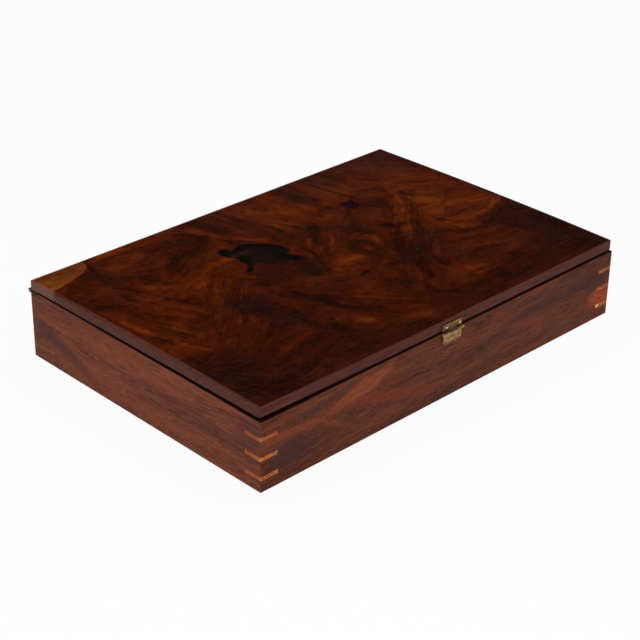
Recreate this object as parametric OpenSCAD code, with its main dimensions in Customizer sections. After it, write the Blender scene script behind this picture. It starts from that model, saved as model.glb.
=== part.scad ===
// Antique knife box in walnut, with a full-length brass hinge and a brass hasp.
// Axes: X runs along the box, the hasp is at the front (-Y), the hinge at the
// back (+Y), Z is up. The origin is the centre of the underside.

/* [Case] */
// Outside length of the case
box_length = 451; // [380:1:540]
// Outside depth of the case, front to back
box_depth = 305; // [260:1:380]
// Height of the four boards
case_height = 66.7; // [58:0.1:90]
// Thickness of the four boards
wall = 12.7; // [11:0.1:18]
// Roundness worn on the long edges of the boards
arris = 0.8; // [0.3:0.1:1.2]
// Roundness of the four upright corners
corner_radius = 1.5; // [1.2:0.1:3]

/* [Bottom] */
// Thickness of the bottom panel
bottom_thickness = 6.4; // [4:0.1:9]
// How far the bottom panel is let into each board
bottom_rebate = 6.4; // [5:0.1:8]
// Thickness of the baize lining on the floor
baize = 1.5; // [1:0.1:3]
// Bottom screws along each long side
bottom_screws_long = 5; // [3:1:8]
// Bottom screws along each short side
bottom_screws_short = 3; // [2:1:5]

/* [Corner keys] */
// Thickness of a key, a saw cut wide
key_thickness = 3.6; // [2:0.1:5]
// Length of a key that shows on each face
key_leg = 18.5; // [14:0.1:22]
// Height of the lowest key's middle
key_first = 13.3; // [9:0.1:14]
// Rise from one key to the next
key_pitch = 18.4; // [12:0.1:20]

/* [Lid] */
// Thickness of the lid at its back edge
lid_back_thickness = 9; // [8.5:0.1:14]
// Thickness of the lid at its front edge
lid_front_thickness = 10.2; // [8.5:0.1:15]
// Roundness worn on the lid's edges
lid_arris = 1.1; // [0.5:0.1:2]
// How far the lid's right end stops short of the case
lid_short = 1.5; // [0:0.1:3]
// How far the lid's front edge is set back from the case
lid_setback = 1; // [0.8:0.1:2]
// Gap under the lid along the hinge
gap_hinge = 1.5; // [1.2:0.1:2.2]
// Gap under the warped lid at the front left corner
gap_left = 3; // [1:0.1:4.5]
// Gap under the warped lid at the middle of the front
gap_centre = 1.4; // [1.2:0.1:2.4]
// Gap under the warped lid at the front right corner
gap_right = 1.9; // [1:0.1:4]
// How far the lid's right end bows up at its middle
right_bow = 1.6; // [0:0.1:2.5]

/* [Hinge] */
// Outside diameter of the hinge's barrel
barrel_diameter = 4.2; // [4:0.1:5]
// Diameter of the hinge's pin
hinge_pin_diameter = 2; // [1.5:0.1:2.4]
// Thickness of a hinge leaf
leaf_thickness = 1.2; // [0.8:0.1:1.3]
// Width of a hinge leaf, measured in from the back of the case
leaf_width = 11.2; // [10:0.1:12]
// Distance of the hinge's axis behind the case
hinge_out = 1.3; // [1.2:0.1:2.2]
// Number of knuckles, an odd number
knuckles = 35; // [21:2:45]
// Screws in each leaf
leaf_screws = 9; // [5:1:12]

/* [Hasp] */
// Width of the plate on the lid
plate_width = 24.5; // [20:0.1:30]
// Height of the plate on the lid
plate_height = 6.1; // [5.2:0.1:6.6]
// Width of the flap
flap_width = 23; // [20:0.1:28]
// Length of the flap below its pin
flap_length = 9.8; // [8.5:0.1:11]
// Thickness of the flap's sheet brass
flap_thickness = 0.8; // [0.6:0.1:1]
// Outside diameter of the hasp's knuckles
hasp_barrel_diameter = 2.8; // [2.6:0.1:3.2]
// Diameter of the hasp's pin
hasp_pin_diameter = 1.4; // [1.2:0.1:1.6]
// Distance of the hasp's pin in front of the case
hasp_out = 1.7; // [1.6:0.1:2.2]
// Distance of the hasp's pin below the top of the case
hasp_drop = 0.5; // [0.3:0.1:2]
// Width of the tongue that carries the middle knuckle
tongue_width = 10; // [7:0.1:12]

/* [Knife rests] */
// Number of knives that the box holds
knives = 12; // [6:1:12]
// Thickness of a rest
rest_thickness = 14; // [10:0.5:20]
// Height of the handle rest
handle_rest_height = 26; // [22:0.5:30]
// Height of the blade rest
blade_rest_height = 30; // [24:0.5:34]
// Width of a handle's notch
handle_notch = 18; // [14:0.5:20]
// Width of a blade's slot
blade_slot = 6; // [5:0.5:10]
// Depth of a blade's slot
blade_slot_depth = 20; // [14:0.5:22]
// Distance of the handle rest from the middle, towards the front
handle_rest_place = 78; // [60:1:100]
// Distance of the blade rest from the middle, towards the back
blade_rest_place = 72; // [60:1:100]

/* [Hidden] */
$fn = 64;
// Clearance of a running fit, on the radius
run = 0.05;
// Clearance beside and around parts that only pass each other
side = 0.2;
// Overshoot of a cut past the face it opens
over = 1;

// Case
half_l = box_length / 2;
half_w = box_depth / 2;
inner_l = box_length - 2 * wall;
inner_w = box_depth - 2 * wall;
floor_z = bottom_thickness + baize;
panel_l = inner_l + 2 * bottom_rebate;
panel_w = inner_w + 2 * bottom_rebate;
key_count = 3;
bottom_screw_head = 6;
bottom_screw_shank = 3;
bottom_screw_length = 19;
bottom_screw_sink = 0.3;
bottom_screw_margin = 34;

// Lid
lid_left = -half_l;
lid_right = half_l - lid_short;
lid_back = half_w;
lid_front = -half_w + lid_setback;
lid_z = case_height + gap_hinge;
lid_stations = 24;
lid_rows = 9;
arc_steps = 3;
// Share of the arris that is turned round at the flat of each end
end_share = 0.85;

// Hinge
barrel_r = barrel_diameter / 2;
hinge_pin_r = hinge_pin_diameter / 2;
hinge_y = half_w + hinge_out;
hinge_z = lid_z - barrel_r;
leaf_rebate = barrel_diameter - gap_hinge;
hinge_inset = 0.5;
hinge_left = lid_left + hinge_inset;
hinge_right = lid_right - hinge_inset;
hinge_length = hinge_right - hinge_left;
knuckle_pitch = hinge_length / knuckles;
leaf_screw_shank = 2.4;
leaf_screw_head = leaf_screw_shank + 2 * leaf_thickness;
case_screw_length = 13;
lid_screw_length = 7;
leaf_screw_margin = 20;
leaf_screw_y = half_w - leaf_width / 2;

// Hasp, which sits a little to the left of the middle, its flap more so than its plate
hasp_x = -1.5;
flap_x = hasp_x - 1.5;
hasp_barrel_r = hasp_barrel_diameter / 2;
hasp_pin_r = hasp_pin_diameter / 2;
hasp_y = -half_w - hasp_out;
hasp_z = case_height - hasp_drop;
plate_z = case_height + gap_centre;
tongue_thickness = 0.8;
tongue_in = hasp_out - hasp_barrel_r;
pin_head_width = 0.9;
pin_head_r = 1.25;
// The pin between its heads: it reaches past the flap to the plate's right end
hasp_pin_left = flap_x - flap_width / 2 - side / 2;
hasp_pin_right = max(flap_x + flap_width / 2 + side / 2, hasp_x + (plate_width - pin_head_width) / 2);
// The plate's two pins were set by eye: their distances from its ends, and their heights
// above the underside of the lid
plate_pin_left = 5.8;
plate_pin_left_rise = 2.5;
plate_pin_right = 2.2;
plate_pin_right_rise = 2.3;
plate_pin_r = 0.6;
plate_pin_length = 7;
plate_pin_head_r = 1.3;
plate_pin_head = 0.7;
lip_radius = 1.2;
lip_angle = 70;
lip_z = hasp_z - flap_length + (lip_radius + flap_thickness) * sin(lip_angle);
boss_r = 4.3;
boss_proud = 0.6;
flap_corner = 1.2;
keeper_width = 12;
keeper_height = 6.4;
keeper_thickness = 0.5;
stud_r = 2.2;
stud_proud = 0.5;
keeper_pin_spacing = 8.8;
keeper_pin_r = 0.5;
keeper_pin_head_r = 0.9;
keeper_pin_head = 0.3;
keeper_pin_length = 6;
// The keeper sits behind the lower half of the flap
keeper_z = hasp_z - 0.58 * flap_length;

// Knife rests
knife_pitch = inner_l / knives;
rest_length = inner_l - side;
handle_notch_depth = 0.7 * handle_notch;

// A cylinder from the origin along +X
module rod_x(r, length) {
    rotate([0, 90, 0]) cylinder(r = r, h = length);
}

// A profile drawn as (outwards from the front of the case, height), extruded along X about x
module front_profile(x, width) {
    translate([x + width / 2, -half_w, 0])
        rotate([0, 0, 180])
            rotate([90, 0, 90])
                linear_extrude(width) children();
}

// Places spread evenly between two ends
function spread(low, high, count) =
    [for (i = [0:count - 1]) low + (high - low) * i / (count - 1)];

// The waste cut from a square corner of a section to round it
module corner_waste(r) {
    difference() {
        translate([-over, -over]) square(r + over);
        translate([r, r]) circle(r);
    }
}

// Section of a board: x runs in from its outer face, y up from its bottom edge
module board_section() {
    difference() {
        square([wall, case_height]);
        translate([wall - bottom_rebate, -over])
            square([bottom_rebate + over, bottom_thickness + over]);
        corner_waste(arris);
        translate([0, case_height]) mirror([0, 1]) corner_waste(arris);
        translate([wall, case_height]) mirror([1, 0]) mirror([0, 1]) corner_waste(arris);
    }
}

// Plan of the case with its rounded corners
module case_plan() {
    square([box_length - 2 * corner_radius, box_depth], center = true);
    square([box_length, box_depth - 2 * corner_radius], center = true);
    for (sx = [-1, 1])
        for (sy = [-1, 1])
            translate([sx * (half_l - corner_radius), sy * (half_w - corner_radius)])
                circle(corner_radius);
}

// A mitred board along the front, of a case that is l long and w deep
module mitred_board(l, w) {
    intersection() {
        translate([-l / 2, -w / 2, 0]) rotate([90, 0, 90]) linear_extrude(l) board_section();
        translate([0, 0, -over])
            linear_extrude(case_height + 2 * over)
                polygon([[-l / 2, -w / 2], [l / 2, -w / 2],
                    [l / 2 - wall, -w / 2 + wall], [-l / 2 + wall, -w / 2 + wall]]);
    }
}

// The saw cut of key number i at the front corner on side sx
module key_blank(sx, i) {
    translate([sx * half_l, -half_w, key_first + i * key_pitch - key_thickness / 2])
        linear_extrude(key_thickness)
            polygon([[0, 0], [-sx * key_leg, 0], [0, key_leg]]);
}

// Everything that is cut from the boards once they are joined
module case_cuts() {
    for (sx = [-1, 1])
        for (i = [0:key_count - 1])
            key_blank(sx, i);
    translate([-half_l - over, half_w - leaf_width, case_height - leaf_rebate])
        cube([box_length + 2 * over, leaf_width + over, leaf_rebate + over]);
    bottom_screw_places() pilot(bottom_screw_shank / 2, bottom_screw_length);
    leaf_screw_places(case_height - leaf_rebate + leaf_thickness)
        mirror([0, 0, 1]) pilot(leaf_screw_shank / 2, case_screw_length);
    keeper_pin_places() pilot(keeper_pin_r, keeper_pin_length);
}

module finished_board(l, w, turn) {
    difference() {
        intersection() {
            rotate([0, 0, turn]) mitred_board(l, w);
            translate([0, 0, -over]) linear_extrude(case_height + 2 * over) case_plan();
        }
        case_cuts();
    }
}

module front_board() {
    color("#6b4030") finished_board(box_length, box_depth, 0);
}

module back_board() {
    color("#6b4030") finished_board(box_length, box_depth, 180);
}

module left_board() {
    color("#6f4433") finished_board(box_depth, box_length, -90);
}

module right_board() {
    color("#6f4433") finished_board(box_depth, box_length, 90);
}

module corner_key(sx, i) {
    color("#a8683a")
        intersection() {
            key_blank(sx, i);
            linear_extrude(case_height) case_plan();
        }
}

// A hole or a plain shank from the origin upwards
module pilot(r, length) {
    cylinder(r = r, h = length);
}

// A countersunk wood screw whose head lies face down at the origin, its shank rising along +Z
module wood_screw(head, shank, length) {
    head_height = (head - shank) / 2;
    slot_width = head / 6;
    slot_depth = head / 12;
    difference() {
        union() {
            cylinder(r1 = head / 2, r2 = shank / 2, h = head_height);
            cylinder(r = shank / 2, h = length);
        }
        translate([-head / 2, -slot_width / 2, -over]) cube([head, slot_width, slot_depth + over]);
    }
}

// The seat that a countersunk head is let into, open at the origin
module countersink(head, shank) {
    cylinder(r1 = head / 2, r2 = shank / 2, h = (head - shank) / 2);
}

module bottom_screw_places() {
    x_edge = half_l - wall + bottom_rebate / 2;
    y_edge = half_w - wall + bottom_rebate / 2;
    for (sy = [-1, 1])
        for (x = spread(-half_l + bottom_screw_margin, half_l - bottom_screw_margin, bottom_screws_long))
            translate([x, sy * y_edge, bottom_screw_sink]) children();
    for (sx = [-1, 1])
        for (y = spread(-half_w + 2 * bottom_screw_margin, half_w - 2 * bottom_screw_margin,
                bottom_screws_short))
            translate([sx * x_edge, y, bottom_screw_sink]) children();
}

module bottom_panel() {
    color("#7a5238")
        difference() {
            translate([-panel_l / 2, -panel_w / 2, 0]) cube([panel_l, panel_w, bottom_thickness]);
            bottom_screw_places() {
                translate([0, 0, -over]) cylinder(r = bottom_screw_head / 2, h = over);
                countersink(bottom_screw_head, bottom_screw_shank);
                pilot(bottom_screw_shank / 2, bottom_screw_length);
            }
        }
}

module bottom_screws() {
    color("#a9873f")
        bottom_screw_places()
            wood_screw(bottom_screw_head, bottom_screw_shank, bottom_screw_length);
}

module baize_lining() {
    color("#2f4a36")
        translate([-inner_l / 2 + side / 2, -inner_w / 2 + side / 2, bottom_thickness])
            cube([inner_l - side, inner_w - side, baize]);
}

// A rest across the box at y, with its notches drawn by the child in (x, z from its top)
module knife_rest(y, height) {
    translate([0, y + rest_thickness / 2, floor_z])
        rotate([90, 0, 0])
            linear_extrude(rest_thickness)
                difference() {
                    translate([-rest_length / 2, 0]) square([rest_length, height]);
                    for (i = [0:knives - 1])
                        translate([(i - (knives - 1) / 2) * knife_pitch, height]) children();
                }
}

module handle_rest() {
    color("#6e4a34")
        knife_rest(-handle_rest_place, handle_rest_height)
            round_notch(handle_notch, handle_notch_depth);
}

module blade_rest() {
    color("#6e4a34")
        knife_rest(blade_rest_place, blade_rest_height)
            round_notch(blade_slot, blade_slot_depth);
}

// A notch open at the top, with a half-round bottom
module round_notch(width, depth) {
    translate([0, width / 2 - depth]) circle(width / 2);
    translate([-width / 2, width / 2 - depth]) square([width, depth - width / 2 + over]);
}

// Places of the screws in a hinge leaf, at height z
module leaf_screw_places(z) {
    for (x = spread(lid_left + leaf_screw_margin, lid_right - leaf_screw_margin, leaf_screws))
        translate([x, leaf_screw_y, z]) children();
}

// One leaf with its knuckles, as it lies on the case; first is 0 or 1
module hinge_leaf(first, bore_r) {
    own = [for (i = [first:2:knuckles - 1]) i];
    other = [for (i = [1 - first:2:knuckles - 1]) i];
    difference() {
        union() {
            translate([hinge_left, half_w - leaf_width + side, hinge_z - barrel_r])
                cube([hinge_length, leaf_width - side + hinge_out, leaf_thickness]);
            for (i = own)
                translate([hinge_left + i * knuckle_pitch, hinge_y, hinge_z])
                    rod_x(barrel_r, knuckle_pitch);
        }
        for (i = other)
            translate([hinge_left + i * knuckle_pitch - side / 2,
                    hinge_y - barrel_r - side, hinge_z - barrel_r - over])
                cube([knuckle_pitch + side, 2 * barrel_r + 2 * side, barrel_diameter + 2 * over]);
        translate([hinge_left - over, hinge_y, hinge_z]) rod_x(bore_r, hinge_length + 2 * over);
        leaf_screw_places(hinge_z - barrel_r + leaf_thickness)
            mirror([0, 0, 1]) {
                countersink(leaf_screw_head, leaf_screw_shank);
                pilot(leaf_screw_shank / 2, leaf_thickness + over);
            }
    }
}

// Turns what lies on the case over about the hinge's axis height, to lie on the lid
module on_lid() {
    translate([0, 0, hinge_z]) mirror([0, 0, 1]) translate([0, 0, -hinge_z]) children();
}

module hinge_leaf_case() {
    color("#9c7a3c") hinge_leaf(0, hinge_pin_r);
}

module hinge_leaf_lid() {
    color("#9c7a3c") on_lid() hinge_leaf(1, hinge_pin_r + run);
}

module hinge_pin() {
    color("#7d6a4a") translate([hinge_left, hinge_y, hinge_z]) rod_x(hinge_pin_r, hinge_length);
}

module hinge_screws_case() {
    color("#a9873f")
        leaf_screw_places(hinge_z - barrel_r + leaf_thickness)
            mirror([0, 0, 1]) wood_screw(leaf_screw_head, leaf_screw_shank, case_screw_length);
}

module hinge_screws_lid() {
    color("#a9873f")
        on_lid()
            leaf_screw_places(hinge_z - barrel_r + leaf_thickness)
                mirror([0, 0, 1]) wood_screw(leaf_screw_head, leaf_screw_shank, lid_screw_length);
}

// The warp of the lid. Along the front the gap under it follows a curve through the three
// gaps, with more of its rise near the left corner; from the hinge leaf forwards it grows
// to that gap, faster at first. Towards the right end the lid also bows up between the two.
function front_gap(x) =
    let (u = x / half_l,
        even = (gap_left + gap_right) / 2 - gap_centre,
        odd = (gap_right - gap_left) / 2)
    gap_centre + even * u * u + odd * (1.25 * u * u * u - 0.25 * u);
function forward(y) =
    max(0, (half_w - leaf_width - y) / (half_w - leaf_width - lid_front));
function bow(x, s) =
    let (u = (x / half_l + 1) / 2)
    right_bow * 4 * s * (1 - s) * u * u * u;
function lid_under(x, y) =
    let (s = forward(y))
    lid_z + (front_gap(x) - gap_hinge) * (1.5 * s - 0.5 * s * s) + bow(x, s);
function lid_over(x, y) =
    let (s = (lid_back - y) / (lid_back - lid_front))
    lid_under(x, y) + lid_back_thickness + (lid_front_thickness - lid_back_thickness) * s;

// Rows across the lid: its back strip over the hinge leaf is flat
lid_row_y = concat([lid_back - lid_arris],
    spread(half_w - leaf_width, lid_front + lid_arris, lid_rows));

// One corner of the lid's section, a quarter turn from angle a
function lid_corner(x, y, z, r, a) =
    [for (k = [0:arc_steps]) [x, y + r * cos(a - 90 * k / arc_steps), z + r * sin(a - 90 * k / arc_steps)]];

// Section of the lid at x, drawn in by the distance inset
function lid_ring(x, inset) =
    let (r = lid_arris - inset,
        back = lid_back - lid_arris,
        front = lid_front + lid_arris,
        rows = len(lid_row_y))
    concat(
        [for (j = [1:rows - 2]) [x, lid_row_y[j], lid_under(x, lid_row_y[j]) + inset]],
        lid_corner(x, front, lid_under(x, lid_front) + lid_arris, r, 270),
        lid_corner(x, front, lid_over(x, lid_front) - lid_arris, r, 180),
        [for (j = [rows - 2:-1:1]) [x, lid_row_y[j], lid_over(x, lid_row_y[j]) - inset]],
        lid_corner(x, back, lid_over(x, lid_back) - lid_arris, r, 90),
        lid_corner(x, back, lid_under(x, lid_back) + lid_arris, r, 0));

// Stations along the lid as [x, inset], with the arris turned round each end
end_inset = [for (k = [0:arc_steps]) end_share * lid_arris * (1 - sin(90 * k / arc_steps))];
end_back = [for (k = [0:arc_steps]) lid_arris * (1 - cos(90 * k / arc_steps))];
lid_station = concat(
    [for (k = [0:arc_steps]) [lid_left + end_back[k], end_inset[k]]],
    [for (x = spread(lid_left + lid_arris, lid_right - lid_arris, lid_stations + 1))
        if (x > lid_left + 2 * lid_arris && x < lid_right - 2 * lid_arris) [x, 0]],
    [for (k = [arc_steps:-1:0]) [lid_right - end_back[k], end_inset[k]]]);

module lid_slab() {
    rings = [for (s = lid_station) lid_ring(s[0], s[1])];
    count = len(rings[0]);
    last = len(rings) - 1;
    points = [for (ring = rings) for (p = ring) p];
    sides = [for (i = [0:last - 1]) for (j = [0:count - 1])
        let (a = i * count + j, b = i * count + (j + 1) % count)
        each [[a, b, b + count], [a, b + count, a + count]]];
    left_cap = [[for (j = [count - 1:-1:0]) j]];
    right_cap = [[for (j = [0:count - 1]) last * count + j]];
    polyhedron(points = points, faces = concat(sides, left_cap, right_cap), convexity = 4);
}

module lid_panel() {
    color("#4f2c1c")
        difference() {
            lid_slab();
            on_lid()
                leaf_screw_places(case_height - leaf_rebate + leaf_thickness)
                    mirror([0, 0, 1]) pilot(leaf_screw_shank / 2 + run, lid_screw_length + side);
            plate_pin_places() pilot(plate_pin_r + run, plate_pin_length + lid_setback + side);
        }
}

// Places of the pins in the plate, pointing into the lid
module plate_pin_places() {
    lid_edge = case_height + gap_centre;
    translate([hasp_x - plate_width / 2 + plate_pin_left, -half_w, lid_edge + plate_pin_left_rise])
        rotate([-90, 0, 0]) children();
    translate([hasp_x + plate_width / 2 - plate_pin_right, -half_w, lid_edge + plate_pin_right_rise])
        rotate([-90, 0, 0]) children();
}

// The plate on the lid's edge, and the tongue that it sends down in front of the case
module hasp_plate() {
    tongue_out = tongue_in + tongue_thickness;
    color("#a98a4d")
        difference() {
            union() {
                front_profile(hasp_x, plate_width)
                    translate([-lid_setback, plate_z]) square([lid_setback, plate_height]);
                front_profile(hasp_x, tongue_width)
                    polygon([[tongue_in, hasp_z], [tongue_out, hasp_z],
                        [tongue_out, plate_z], [0, plate_z + 2 * tongue_thickness],
                        [-lid_setback, plate_z + 2 * tongue_thickness],
                        [-lid_setback, plate_z + tongue_thickness],
                        [tongue_in, plate_z - tongue_thickness]]);
                front_profile(hasp_x, tongue_width)
                    translate([hasp_out, hasp_z]) circle(hasp_barrel_r);
            }
            translate([hasp_x - plate_width, hasp_y, hasp_z]) rod_x(hasp_pin_r, 2 * plate_width);
            plate_pin_places() translate([0, 0, -over]) pilot(plate_pin_r, 2 * over + lid_setback);
        }
}

// A pin with a low domed head that stands in front of the origin
module round_pin(r, length, head_r, head) {
    dome_r = (head_r * head_r + head * head) / (2 * head);
    cylinder(r = r, h = length);
    intersection() {
        translate([0, 0, dome_r - head]) sphere(dome_r);
        translate([0, 0, -head]) cylinder(r = head_r, h = head);
    }
}

module hasp_plate_pins() {
    color("#d8b468")
        plate_pin_places()
            round_pin(plate_pin_r, plate_pin_length + lid_setback, plate_pin_head_r, plate_pin_head);
}

module hasp_hinge_pin() {
    color("#c7a56a") {
        translate([hasp_pin_left - side / 2, hasp_y, hasp_z])
            rod_x(hasp_pin_r, hasp_pin_right - hasp_pin_left + side);
        for (x = [hasp_pin_left - pin_head_width, hasp_pin_right])
            translate([x, hasp_y, hasp_z]) rod_x(pin_head_r, pin_head_width);
    }
}

// Section of the flap: a straight sheet below the pin with a lip flared outwards
module flap_section() {
    sheet_in = hasp_out - flap_thickness / 2;
    sheet_out = sheet_in + flap_thickness;
    lip_reach = 2 * (lip_radius + flap_thickness);
    translate([sheet_in, lip_z]) square([flap_thickness, hasp_z - lip_z]);
    translate([sheet_out + lip_radius, lip_z])
        intersection() {
            difference() {
                circle(lip_radius + flap_thickness);
                circle(lip_radius);
            }
            polygon([[0, 0], [-lip_reach, 0], [-lip_reach, -lip_reach * tan(lip_angle)]]);
        }
}

// The arched boss pressed out of the flap, cut off straight where the lip begins
module flap_boss(lip_z) {
    sheet_out = hasp_out + flap_thickness / 2;
    intersection() {
        translate([flap_x, -half_w - sheet_out - boss_proud, lip_z])
            rotate([-90, 0, 0]) cylinder(r1 = boss_r - boss_proud, r2 = boss_r, h = boss_proud);
        translate([flap_x - boss_r, -half_w - sheet_out - boss_proud, lip_z])
            cube([2 * boss_r, boss_proud, boss_r]);
    }
}

module hasp_flap() {
    color("#b8965a")
        difference() {
            union() {
                front_profile(flap_x, flap_width) flap_section();
                front_profile(flap_x, flap_width) translate([hasp_out, hasp_z]) circle(hasp_barrel_r);
                flap_boss(lip_z);
            }
            translate([flap_x - flap_width, hasp_y, hasp_z])
                rod_x(hasp_pin_r + run, 2 * flap_width);
            translate([hasp_x - tongue_width / 2 - side, hasp_y - 2 * hasp_out,
                    hasp_z - hasp_barrel_r - side])
                cube([tongue_width + 2 * side, 4 * hasp_out, 2 * flap_length]);
            for (sx = [-1, 1])
                translate([flap_x + sx * flap_width / 2, -half_w, hasp_z - flap_length])
                    mirror([sx > 0 ? 1 : 0, 0, 0])
                        rotate([90, 0, 0])
                            linear_extrude(3 * hasp_out) corner_waste(flap_corner);
        }
}

module keeper_pin_places() {
    for (sx = [-1, 1])
        translate([flap_x + sx * keeper_pin_spacing / 2, -half_w, keeper_z])
            rotate([-90, 0, 0]) children();
}

// The plate under the flap, with the low stud that the flap nips over
module keeper_plate() {
    dome_r = (stud_r * stud_r + stud_proud * stud_proud) / (2 * stud_proud);
    color("#a98a4d")
        difference() {
            union() {
                translate([flap_x - keeper_width / 2, -half_w - keeper_thickness,
                        keeper_z - keeper_height / 2])
                    cube([keeper_width, keeper_thickness, keeper_height]);
                translate([flap_x, -half_w - keeper_thickness, keeper_z])
                    rotate([90, 0, 0])
                        intersection() {
                            translate([0, 0, stud_proud - dome_r]) sphere(dome_r);
                            cylinder(r = stud_r, h = stud_proud);
                        }
            }
            keeper_pin_places()
                translate([0, 0, -keeper_thickness - over]) pilot(keeper_pin_r, 2 * over);
        }
}

module keeper_pins() {
    color("#c7a56a")
        keeper_pin_places()
            translate([0, 0, -keeper_thickness])
                round_pin(keeper_pin_r, keeper_pin_length + keeper_thickness,
                    keeper_pin_head_r, keeper_pin_head);
}

front_board();
back_board();
left_board();
right_board();
corner_key(-1, 0);  // key_front_left_1
corner_key(-1, 1);  // key_front_left_2
corner_key(-1, 2);  // key_front_left_3
corner_key(1, 0);  // key_front_right_1
corner_key(1, 1);  // key_front_right_2
corner_key(1, 2);  // key_front_right_3
bottom_panel();
bottom_screws();
baize_lining();
handle_rest();
blade_rest();
hinge_leaf_case();
hinge_pin();
hinge_screws_case();
keeper_plate();
keeper_pins();
lid_panel();
hinge_leaf_lid();
hinge_screws_lid();
hasp_plate();
hasp_plate_pins();
hasp_hinge_pin();
hasp_flap();
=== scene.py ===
"""Looks of the antique knife box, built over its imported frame.

Lengths are written in millimetres and turned into metres by MM where they reach Blender.
X runs along the box, the hasp is at the front (-Y) and the hinge at the back (+Y).
"""

import math

import bpy
import numpy as np
from mathutils import Matrix, Vector


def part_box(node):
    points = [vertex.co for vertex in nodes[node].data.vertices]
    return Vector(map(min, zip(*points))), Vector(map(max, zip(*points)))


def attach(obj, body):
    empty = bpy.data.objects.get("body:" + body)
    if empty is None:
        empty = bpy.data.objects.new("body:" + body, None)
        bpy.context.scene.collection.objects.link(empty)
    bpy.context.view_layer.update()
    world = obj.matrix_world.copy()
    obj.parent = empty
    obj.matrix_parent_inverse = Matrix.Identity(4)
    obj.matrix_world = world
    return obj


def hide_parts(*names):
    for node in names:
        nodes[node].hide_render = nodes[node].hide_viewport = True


MM = 0.001
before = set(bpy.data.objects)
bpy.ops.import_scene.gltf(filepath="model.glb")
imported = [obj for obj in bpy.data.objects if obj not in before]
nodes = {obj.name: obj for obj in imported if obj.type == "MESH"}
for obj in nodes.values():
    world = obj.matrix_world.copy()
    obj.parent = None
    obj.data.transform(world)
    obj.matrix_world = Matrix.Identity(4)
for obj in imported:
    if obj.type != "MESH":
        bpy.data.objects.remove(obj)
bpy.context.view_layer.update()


def box_mm(node):
    """Lowest and highest corner of a CAD node, in millimetres."""
    low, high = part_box(node)
    return np.array(low) / MM, np.array(high) / MM


def put(name, data):
    """A new object in the scene."""
    made = bpy.data.objects.new(name, data)
    bpy.context.scene.collection.objects.link(made)
    return made


# Camera

PHOTO_SIZE = 640
FOCAL_PIXELS = 1704.86
PRINCIPAL_POINT = (324.52, 320.98)
CAMERA_PLACE = (-0.98910, -0.99082, 0.77587)
CAMERA_RIGHT = (0.71567, -0.69825, 0.01597)
CAMERA_UP = (0.32413, 0.35229, 0.87797)
SENSOR_WIDTH = 36.0


def make_camera():
    """The camera of the photograph, worked out from the box's corners."""
    data = bpy.data.cameras.new("camera")
    data.sensor_width = SENSOR_WIDTH
    data.lens = FOCAL_PIXELS / PHOTO_SIZE * SENSOR_WIDTH
    data.shift_x = (PHOTO_SIZE / 2 - PRINCIPAL_POINT[0]) / PHOTO_SIZE
    data.shift_y = (PRINCIPAL_POINT[1] - PHOTO_SIZE / 2) / PHOTO_SIZE
    data.clip_start = 0.05
    data.clip_end = 50.0
    camera = put("camera", data)
    right, up = Vector(CAMERA_RIGHT), Vector(CAMERA_UP)
    turn = Matrix((right, up, right.cross(up))).transposed()
    camera.matrix_world = Matrix.Translation(CAMERA_PLACE) @ turn.to_4x4()
    bpy.context.scene.camera = camera


make_camera()


# Shader nodes


def paint(colour):
    """A colour given as (red, green, blue) as it looks on a screen, 0 to 255, as linear RGBA."""
    screen = np.array(colour) / 255.0
    linear = np.where(screen <= 0.04045, screen / 12.92, ((screen + 0.055) / 1.055) ** 2.4)
    return (*linear.tolist(), 1.0)


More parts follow.
